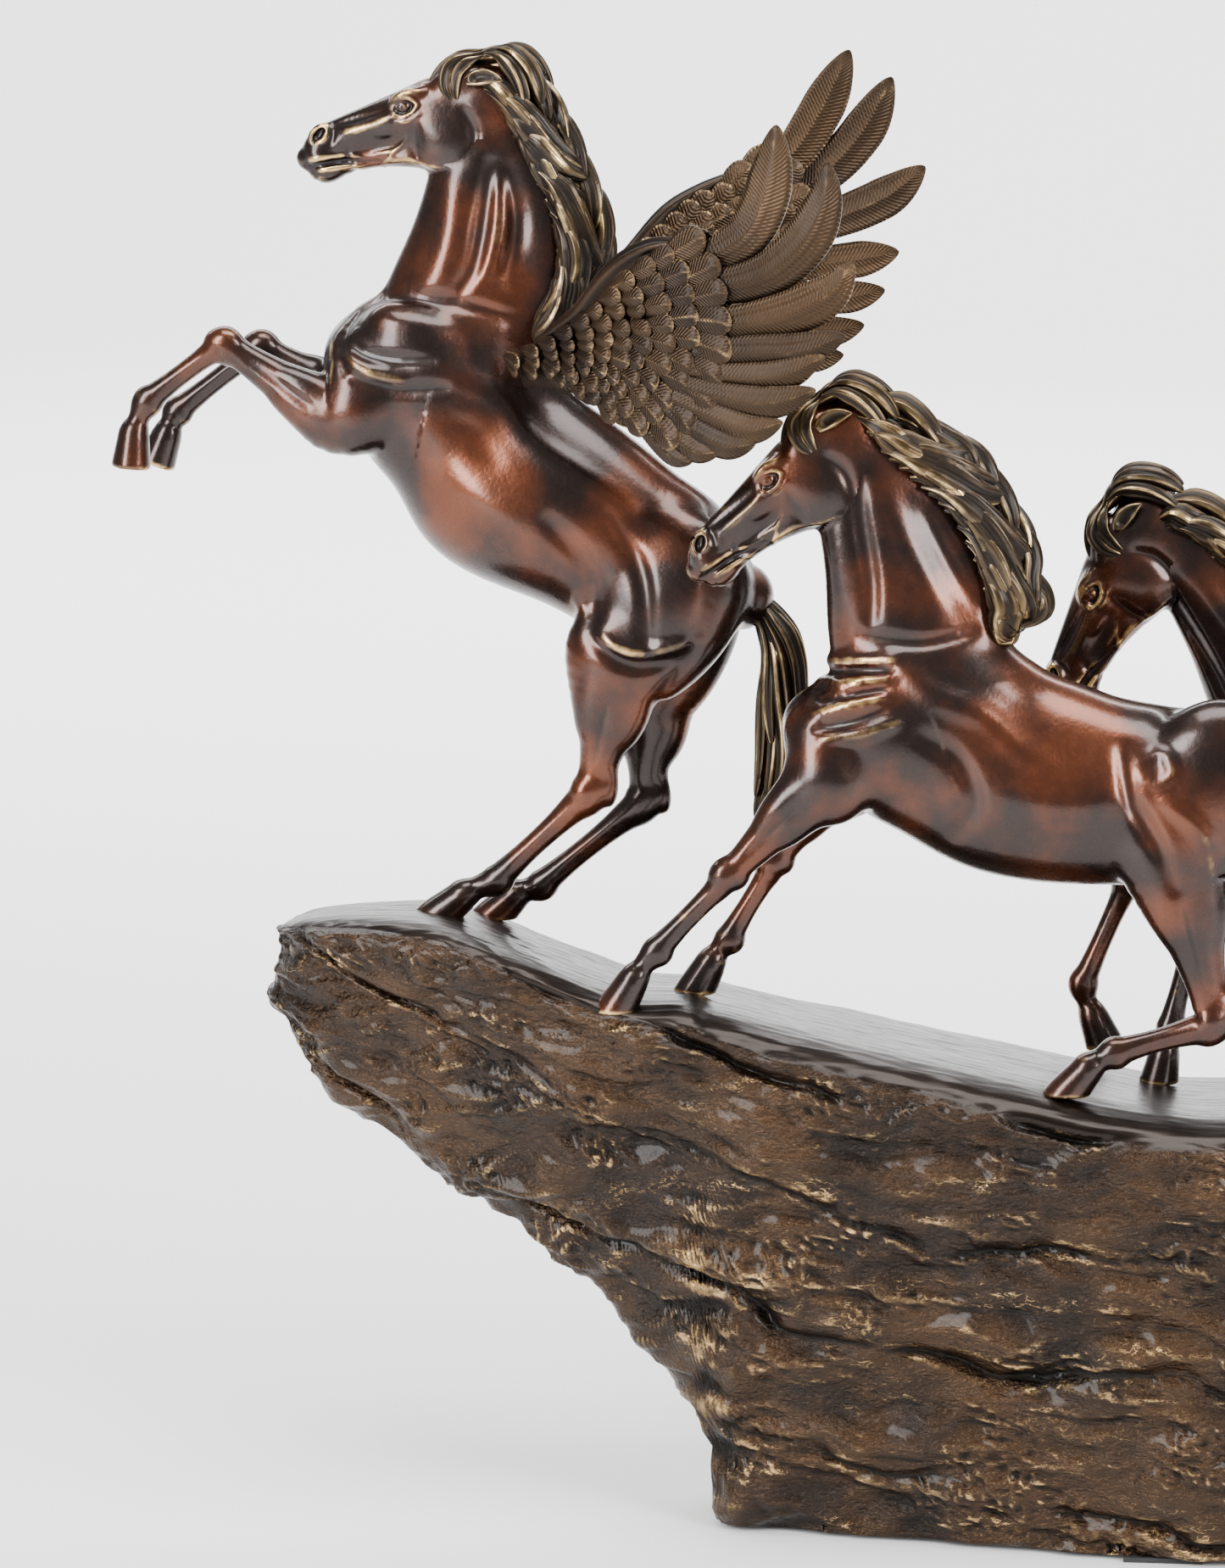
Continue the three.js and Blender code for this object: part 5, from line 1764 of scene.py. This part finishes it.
        drips = 1 - np.abs(grain.at(warp + 51, (10, 10, 6))) * 2
        relief += 2.2 * np.clip(drips, -0.5, 1) * rough * patch
        strokes = grain.at(warp + 83, (22, 22, 6.5)) + 0.5 * grain.at(warp + 13, (14, 14, 5.5))
        relief += 0.8 * strokes * rough
        lip = np.exp(-(((depth - 20) / 8) ** 2)) * smooth(np.abs(normals[:, 1]), 0.15, 0.5)
        relief += 2.4 * lip * (0.6 + grain.at(p + 3, (34, 34, 34)))
        planks = grain.at(p + 19, (55, 6, 6)) * 0.5 + grain.at(p + 29, (26, 3, 3)) * 0.25
        return relief * (0.1 + 0.9 * rough) + planks * flat * 0.8 - 2.0 * rough, rough

    def walled(self, panel: Surface) -> Surface:
        """A panel with its inner face and the rim between the two.

        Args:
            panel: its outer face.

        Returns:
            The closed panel.
        """
        inner = panel.points - panel.normals * self.wall
        inner[:, 2] = np.maximum(inner[:, 2], self.floor)
        count = len(panel.points)
        edges = np.stack([panel.faces, np.roll(panel.faces, -1, axis=1)], axis=-1).reshape(-1, 2)
        ordered = np.sort(edges, axis=1)
        _, first, times = np.unique(ordered, axis=0, return_index=True, return_counts=True)
        rim = edges[first[times == 1]]
        strips = np.stack([rim[:, 1], rim[:, 0], rim[:, 0] + count, rim[:, 1] + count], axis=-1)
        faces = np.vstack([panel.faces, panel.faces[:, ::-1] + count, strips])
        values = {name: np.r_[value, value * 0 - 0.2] for name, value in panel.values.items()}
        normals = np.vstack([panel.normals, -panel.normals])
        return Surface(np.vstack([panel.points, inner]), faces, normals, values)


Number = float | int
Colour = tuple[float, float, float]


class Wire:
    """A shader socket that arithmetic can be done with; each operation adds a Math node."""

    def __init__(self, board: "Board", socket: bpy.types.NodeSocket) -> None:
        """Wraps an output socket of the board."""
        self.board = board
        self.socket = socket

    def math(
        self, operation: str, other: "Wire | Number | None" = None, first: Number | None = None
    ) -> "Wire":
        """A Math node on this socket.

        Args:
            operation: the node's operation.
            other: its second value.
            first: a number that comes before this socket, for reflected operations.

        Returns:
            The node's result.
        """
        values = [self] if other is None else [self, other]
        if first is not None:
            values = [first, self]
        return self.board.node("ShaderNodeMath", {"operation": operation}, dict(enumerate(values)))

    def __add__(self, other: "Wire | Number") -> "Wire":
        """Socket plus value."""
        return self.math("ADD", other)

    def __radd__(self, other: Number) -> "Wire":
        """Number plus socket."""
        return self.math("ADD", first=other)

    def __sub__(self, other: "Wire | Number") -> "Wire":
        """Socket minus value."""
        return self.math("SUBTRACT", other)

    def __rsub__(self, other: Number) -> "Wire":
        """Number minus socket."""
        return self.math("SUBTRACT", first=other)

    def __mul__(self, other: "Wire | Number") -> "Wire":
        """Socket times value."""
        return self.math("MULTIPLY", other)

    def __rmul__(self, other: Number) -> "Wire":
        """Number times socket."""
        return self.math("MULTIPLY", first=other)

    def ramp(self, low: Number, high: Number, start: Number = 0, end: Number = 1) -> "Wire":
        """This value mapped smoothly from low..high to start..end."""
        inputs = {"From Min": low, "From Max": high, "To Min": start, "To Max": end, "Value": self}
        return self.board.node("ShaderNodeMapRange", {"interpolation_type": "SMOOTHSTEP"}, inputs, "Result")


class Board:
    """The node tree of one material."""

    def __init__(self, name: str) -> None:
        """Makes a material with a Principled shader.

        Args:
            name: the material's name.
        """
        self.material = bpy.data.materials.new(name)
        self.material.use_nodes = True
        self.tree = self.material.node_tree
        self.shader = next(n for n in self.tree.nodes if n.type == "BSDF_PRINCIPLED")

    def node(
        self, kind: str, settings: dict[str, object], inputs: dict[str | int, object], output: str | int = 0
    ) -> Wire:
        """Adds a node.

        Args:
            kind: its type.
            settings: its properties.
            inputs: what each input gets, a wire or a constant, by name or number.
            output: which output to return.

        Returns:
            That output.
        """
        node = self.tree.nodes.new(kind)
        for key, value in settings.items():
            setattr(node, key, value)
        for key, value in inputs.items():
            self.feed(node.inputs[key], value)
        return Wire(self, node.outputs[output])

    def feed(self, socket: bpy.types.NodeSocket, value: object) -> None:
        """Links a wire to a socket, or sets the socket to a constant.

        Args:
            socket: the input.
            value: a wire or a constant.
        """
        if isinstance(value, Wire):
            self.tree.links.new(value.socket, socket)
        elif isinstance(value, tuple) and socket.type == "RGBA":
            socket.default_value = (*value, 1.0)
        else:
            socket.default_value = value

    def value(self, name: str) -> Wire:
        """A vertex value of the mesh."""
        return self.node("ShaderNodeAttribute", {"attribute_name": name}, {}, "Fac")

    def place(self) -> Wire:
        """The point on the object, in metres."""
        return self.node("ShaderNodeTexCoord", {}, {}, "Object")

    def stretched(self, scale: Point) -> Wire:
        """The point on the object with each axis scaled."""
        return self.node("ShaderNodeVectorMath", {"operation": "MULTIPLY"}, {0: self.place(), 1: scale})

    def noise(self, scale: Number, detail: Number = 3, where: Wire | None = None) -> Wire:
        """Noise of about `scale` lumps a metre, from 0 to 1."""
        inputs = {"Vector": where or self.place(), "Scale": scale, "Detail": detail}
        return self.node("ShaderNodeTexNoise", {}, inputs, "Fac")

    def mix(self, share: Wire | Number, first: Wire | Colour, second: Wire | Colour) -> Wire:
        """Two colours mixed.

        Args:
            share: the second colour's share.
            first: a colour.
            second: another.

        Returns:
            The mixed colour.
        """
        node = self.tree.nodes.new("ShaderNodeMix")
        node.data_type = "RGBA"
        self.feed(node.inputs[0], share)
        self.feed(node.inputs[6], first)
        self.feed(node.inputs[7], second)
        return Wire(self, node.outputs[2])

    def bump(self, height: Wire, distance: Number, strength: Number = 1.0) -> Wire:
        """A normal that shows `height`, in metres times `distance`."""
        inputs = {"Height": height, "Distance": distance, "Strength": strength}
        return self.node("ShaderNodeBump", {}, inputs, "Normal")

    def finish(self, **inputs: object) -> bpy.types.Material:
        """Feeds the Principled shader, whose inputs are named with underscores for spaces."""
        for key, value in inputs.items():
            self.feed(self.shader.inputs[key.replace("_", " ")], value)
        return self.material


@dataclass(frozen=True)
class Patina:
    """A waxed bronze: a dark ground with a warmer one in patches, rubbed metal on ridges, grime and painted
    shade in hollows.

    Attributes:
        ground: the main colour.
        warm: the colour of the patches.
        gold: the colour of rubbed ridges.
        grime_and_shade_colour: the colour in hollows, for grime and painted shade.
        rub: the values of `edge` between which the gold comes in.
        grime_and_shade: the values of `edge` between which the grime and painted shade in hollows fade out.
        rough: the roughness of the ground.
        grain: the depth of its fine unevenness in metres.
        metal: how metallic it is.
        coat: how much wax lies on it.
    """

    ground: Colour
    warm: Colour
    gold: Colour
    grime_and_shade_colour: Colour
    rub: tuple[float, float]
    grime_and_shade: tuple[float, float]
    rough: float
    grain: float
    metal: float = 0.72
    coat: float = 0.35

    def material(self, slot: Slot) -> bpy.types.Material:
        """Builds the material for a slot.

        Args:
            slot: the slot that it is named after.

        Returns:
            The material.
        """
        board = Board(slot.value)
        edge, form = board.value("edge"), board.value("form")
        cloud, speck = board.noise(14, 4), board.noise(160, 3)
        colour = board.mix(self.warm_share(board, cloud, form), self.ground, self.warm)
        worn = self.wear(board, edge) + (self.rub[1] - self.rub[0]) * (speck - 0.5)
        gold = worn.ramp(*self.rub) * board.noise(38, 3).ramp(0.42, 0.62, 0.12, 1)
        colour = board.mix(gold, colour, self.gold)
        # Darkens the hollows, where `edge` is low: partly grime, partly painted shade.
        grime_and_shade = edge.ramp(self.grime_and_shade[0], self.grime_and_shade[1], 0.85, 0)
        colour = board.mix(grime_and_shade, colour, self.grime_and_shade_colour)
        rough = self.rough + 0.12 * (speck - 0.5) + grime_and_shade * 0.25 - gold * 0.05
        normal = board.bump(self.relief(board), self.grain)
        return board.finish(
            Base_Color=colour, Metallic=self.metal, Roughness=rough, Normal=normal,
            Coat_Weight=self.coat, Coat_Roughness=0.16,
        )

    def wear(self, board: Board, edge: Wire) -> Wire:
        """How much each place is rubbed, on the scale of `rub`."""
        return edge

    def warm_share(self, board: Board, cloud: Wire, form: Wire) -> Wire:
        """How warm the ground is."""
        return cloud.ramp(0.44, 0.68)

    def relief(self, board: Board) -> Wire:
        """The height of the fine unevenness, from 0 to 1."""
        return board.noise(420, 3) * 0.5 + board.noise(90, 2) * 0.5


@dataclass(frozen=True)
class HairPatina(Patina):
    """The same on hair, with fine scratches along its strands."""

    def relief(self, board: Board) -> Wire:
        """Fine lines along the strands."""
        return (board.value("strand") * 2.2).math("SINE") * 0.5 + board.noise(300, 2)


@dataclass(frozen=True)
class FeatherPatina(Patina):
    """The same on feathers, each of its own tone and with fine barbs."""

    def warm_share(self, board: Board, cloud: Wire, form: Wire) -> Wire:
        """A share that differs from feather to feather."""
        return form * 0.6 + cloud.ramp(0.4, 0.6) * 0.4

    def relief(self, board: Board) -> Wire:
        """Fine lines along the barbs."""
        return (board.value("strand") * 1.0).math("SINE") * 0.6 + board.noise(260, 2)


@dataclass(frozen=True)
class RockPatina(Patina):
    """The same on rock, rougher away from its top."""

    def wear(self, board: Board, edge: Wire) -> Wire:
        """Rubbed on the crests of its wrinkles too, in patches.

        Args:
            board: the material's nodes.
            edge: how far each place stands out.

        Returns:
            How much each place is rubbed.
        """
        wrinkle = board.noise(150, 3, board.stretched((1.0, 1.0, 2.2)))
        crest = (wrinkle - 0.5).math("ABSOLUTE").ramp(0.045, 0.0)
        streak = board.noise(26, 4, board.stretched((0.5, 0.5, 2.4))).ramp(0.45, 0.62)
        ridge = board.value("form").ramp(0.2, 2.2)
        rough = board.value("strand").ramp(0.3, 0.9)
        return edge * 0.32 + (crest * 0.28 + ridge * 0.16) * streak * rough

    def warm_share(self, board: Board, cloud: Wire, form: Wire) -> Wire:
        """Warm on what stands out, and not on the top."""
        side = board.value("strand").ramp(0.2, 0.8, 0.08, 1)
        return (cloud.ramp(0.38, 0.6) * 0.7 + form.ramp(-2, 3) * 0.4) * side

    def relief(self, board: Board) -> Wire:
        """Wrinkles and drips, with the grain of wood along the top.

        Args:
            board: the material's nodes.

        Returns:
            The height.
        """
        long = board.noise(1.0, 4, board.stretched((60, 420, 420)))
        folds = (board.noise(130, 4, board.stretched((1.0, 1.0, 1.9))) - 0.5).math("ABSOLUTE") * -2.6
        rough = board.value("strand").ramp(0.15, 0.7)
        return (folds + board.noise(520, 2) * 0.4) * rough + long * (1 - rough) * 0.12


@dataclass(frozen=True)
class Plain:
    """A plain finish for the hardware and the pads."""

    colour: Colour
    metal: float
    rough: float

    def material(self, slot: Slot) -> bpy.types.Material:
        """Builds the material for a slot.

        Args:
            slot: the slot that it is named after.

        Returns:
            The material.
        """
        board = Board(slot.value)
        wear = board.noise(700, 3)
        return board.finish(
            Base_Color=board.mix(wear * 0.4, self.colour, tuple(0.5 * c for c in self.colour)),
            Metallic=self.metal, Roughness=self.rough + 0.15 * (wear - 0.5), Normal=board.bump(wear, 0.0002),
        )


FINISHES: dict[Slot, Patina | Plain] = {
    Slot.BODY: Patina(
        ground=(0.020, 0.011, 0.009), warm=(0.115, 0.031, 0.011), gold=(0.66, 0.42, 0.17),
        grime_and_shade_colour=(0.006, 0.004, 0.004), rub=(0.08, 0.22), grime_and_shade=(-0.22, -0.03),
        rough=0.27, grain=0.0003, metal=0.80, coat=0.45,
    ),
    Slot.HAIR: HairPatina(
        ground=(0.040, 0.028, 0.019), warm=(0.085, 0.052, 0.022), gold=(0.80, 0.56, 0.26),
        grime_and_shade_colour=(0.008, 0.006, 0.005), rub=(0.32, 0.85), grime_and_shade=(-0.60, 0.12),
        rough=0.30, grain=0.0002, metal=0.88, coat=0.12,
    ),
    Slot.FEATHER: FeatherPatina(
        ground=(0.020, 0.013, 0.009), warm=(0.052, 0.030, 0.015), gold=(0.40, 0.26, 0.13),
        grime_and_shade_colour=(0.006, 0.004, 0.003), rub=(0.22, 0.95), grime_and_shade=(-0.30, 0.03),
        rough=0.38, grain=0.00022, metal=0.88, coat=0.06,
    ),
    Slot.ROCK: RockPatina(
        ground=(0.012, 0.008, 0.006), warm=(0.046, 0.024, 0.011), gold=(0.52, 0.34, 0.15),
        grime_and_shade_colour=(0.004, 0.003, 0.002), rub=(0.15, 0.56), grime_and_shade=(-1.00, -0.10),
        rough=0.33, grain=0.0016, metal=0.86, coat=0.15,
    ),
    Slot.STEEL: Plain((0.42, 0.42, 0.41), 1.0, 0.34),
    Slot.RUBBER: Plain((0.02, 0.02, 0.02), 0.0, 0.8),
}


@dataclass
class Builder:
    """Sets the pieces in the frame in place of the model's plain ones.

    Attributes:
        shift: from the group's own origin to the model's, in millimetres.
        materials: the material for each slot.
    """

    shift: Array
    materials: dict[Slot, bpy.types.Material]

    def add(self, name: str, surface: Surface, slot: Slot, place: Place = Place()) -> bpy.types.Object:
        """Adds a piece in place of the node of the same name.

        Args:
            name: the node that it replaces.
            surface: its mesh, in its own frame.
            slot: its material slot.
            place: where that frame stands.

        Returns:
            The piece.
        """
        mesh = bpy.data.meshes.new(name + ".look")
        points = place.apply(surface.points, self.shift) * MM
        faces = surface.faces.astype(np.int32)
        mesh.vertices.add(len(points))
        mesh.vertices.foreach_set("co", points.astype(np.float32).ravel())
        mesh.loops.add(faces.size)
        mesh.loops.foreach_set("vertex_index", faces.ravel())
        mesh.polygons.add(len(faces))
        mesh.polygons.foreach_set("loop_start", np.arange(0, faces.size, faces.shape[1], dtype=np.int32))
        mesh.update(calc_edges=True)
        mesh.validate()
        mesh.shade_smooth()
        for key, value in surface.values.items():
            layer = mesh.attributes.new(key, "FLOAT", "POINT")
            layer.data.foreach_set("value", np.asarray(value, np.float32))
        if surface.normals is not None:
            mesh.normals_split_custom_set_from_vertices(place.turned(surface.normals).tolist())
        piece = bpy.data.objects.new(name + ".look", mesh)
        bpy.context.scene.collection.objects.link(piece)
        mesh.materials.append(self.materials[slot])
        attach(piece, "root")
        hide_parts(name)
        LOG.info("%s: %d faces", name, len(faces))
        return piece

    def keep(self, name: str, slot: Slot) -> None:
        """Dresses a node of the model and leaves it showing.

        Args:
            name: the node's name.
            slot: its material slot.
        """
        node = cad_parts[name]
        node.data.materials.clear()
        node.data.materials.append(self.materials[slot])


@dataclass
class HorseGroup:
    """One horse with its hair, ears and wings."""

    plan: HorsePlan
    mane: Mane
    tail: Tail
    wings: tuple[Wing, ...] = ()

    def build(self, builder: Builder) -> None:
        """Builds every casting of the horse.

        Args:
            builder: sets them in the frame.
        """
        name, place = self.plan.name, self.plan.place
        castings = Horse(self.plan).build()
        for key, surface in castings.items():
            builder.add(f"{name}_{key}", surface, Slot.BODY, place)
        fore = Forelock()
        hair = [*self.mane.locks(), *fore.locks(self.plan)]
        ears = [fore.ear(self.plan, side) for side in Side]
        mane = Surface.joined([*(lock.surface() for lock in hair), *ears])
        builder.add(f"{name}_mane", mane, Slot.HAIR, place)
        strands = Surface.joined(lock.surface() for lock in self.tail.locks())
        builder.add(f"{name}_tail", strands, Slot.HAIR, place)
        for wing in self.wings:
            builder.add(f"{name}_{wing.side.name.lower()}_wing", wing.build(), Slot.FEATHER, place)


@dataclass(frozen=True)
class SoftBox:
    """A large soft light that points at the middle of the group."""

    place: Point
    size: tuple[float, float]
    power: float
    aim: Point = (0.0, 0.0, 0.45)

    def add(self, name: str) -> None:
        """Puts the light in the scene.

        Args:
            name: the light's name.
        """
        lamp = bpy.data.lights.new(name, "AREA")
        lamp.shape = "RECTANGLE"
        lamp.size, lamp.size_y = self.size
        lamp.energy = self.power
        holder = bpy.data.objects.new(name, lamp)
        holder.location = self.place
        holder.rotation_euler = (Vector(self.place) - Vector(self.aim)).to_track_quat("Z", "Y").to_euler()
        bpy.context.scene.collection.objects.link(holder)


@dataclass(frozen=True)
class Studio:
    """The pale floor, the lights and the camera.

    Attributes:
        turn: how far the camera stands to the right of straight ahead, in degrees.
        height: how far it looks down, in degrees.
        distance: from the aim to the camera, in metres.
        aim: what it looks at, in the group's own frame, in metres.
        view: the height of its view at the aim, in metres.
    """

    turn: float = 5.0
    height: float = 10.0
    distance: float = 3.6
    aim: Point = (0.0, 0.0, 0.436)
    view: float = 0.9245
    boxes: tuple[SoftBox, ...] = (
        SoftBox((-1.9, -2.3, 1.5), (0.9, 2.2), 150),
        SoftBox((2.1, -2.1, 1.6), (0.8, 2.0), 120),
        SoftBox((0.1, -0.6, 2.7), (2.2, 1.0), 90),
        SoftBox((0.0, 3.2, 4.4), (10.0, 3.0), 1500, (0.0, 6.2, 0.6)),
    )

    def build(self, shift: Array) -> None:
        """Sets up the studio.

        Args:
            shift: from the group's own origin to the model's, in millimetres.
        """
        mesh = bpy.data.meshes.new("floor")
        side, bend, radius = 16.0, 6.5, 2.5
        turns = np.linspace(0, math.pi / 2, 13)
        arc = [(bend + radius * math.sin(a), radius * (1 - math.cos(a))) for a in turns]
        profile = [(-side, 0.0), *arc, (bend + radius, 9.0)]
        corners = [(x, float(y), float(z)) for y, z in profile for x in (-side, side)]
        faces = [(i, i + 1, i + 3, i + 2) for i in range(0, len(corners) - 2, 2)]
        mesh.from_pydata(corners, [], faces)
        mesh.shade_smooth()
        floor = bpy.data.objects.new("floor", mesh)
        bpy.context.scene.collection.objects.link(floor)
        board = Board("floor")
        mesh.materials.append(board.finish(Base_Color=(0.86, 0.86, 0.86), Roughness=0.6))
        world = bpy.data.worlds.new("studio")
        world.use_nodes = True
        background = world.node_tree.nodes["Background"]
        background.inputs["Color"].default_value = (1, 1, 1, 1)
        background.inputs["Strength"].default_value = 0.36
        bpy.context.scene.world = world
        for i, box in enumerate(self.boxes):
            box.add(f"soft_box_{i + 1}")
        turn, height = math.radians(self.turn), math.radians(self.height)
        back = Vector(
            (math.sin(turn) * math.cos(height), -math.cos(turn) * math.cos(height), math.sin(height))
        )
        camera = bpy.data.cameras.new("camera")
        camera.sensor_fit = "AUTO"
        camera.sensor_width = 36
        camera.lens = 36 * self.distance / self.view
        holder = bpy.data.objects.new("camera", camera)
        holder.location = Vector(self.aim) + Vector(shift * MM) + back * self.distance
        holder.rotation_euler = back.to_track_quat("Z", "Y").to_euler()
        bpy.context.scene.collection.objects.link(holder)
        bpy.context.scene.camera = holder


def main() -> None:
    """Builds the whole group in its studio."""
    low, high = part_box("foot_pad_1")
    shift = np.array([(low.x + high.x) / 2 / MM - 78, (low.y + high.y) / 2 / MM + 9, 0.0])
    builder = Builder(shift, {slot: finish.material(slot) for slot, finish in FINISHES.items()})
    plans = {PEGASUS: (LEFT_WING, RIGHT_WING), FRONT_HORSE: (), REAR_HORSE: ()}
    for plan, wings in plans.items():
        HorseGroup(plan, MANES[plan.name], TAILS[plan.name], wings).build(builder)
    for name, surface in Rock().build().items():
        builder.add(name, surface, Slot.ROCK)
    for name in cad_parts:
        if name.endswith(("_stud", "_nut")):
            builder.keep(name, Slot.STEEL)
        elif name.startswith("foot_pad"):
            builder.keep(name, Slot.RUBBER)
    Studio().build(shift)


if __name__ == "__main__":
    logging.basicConfig(level=logging.INFO)
    main()
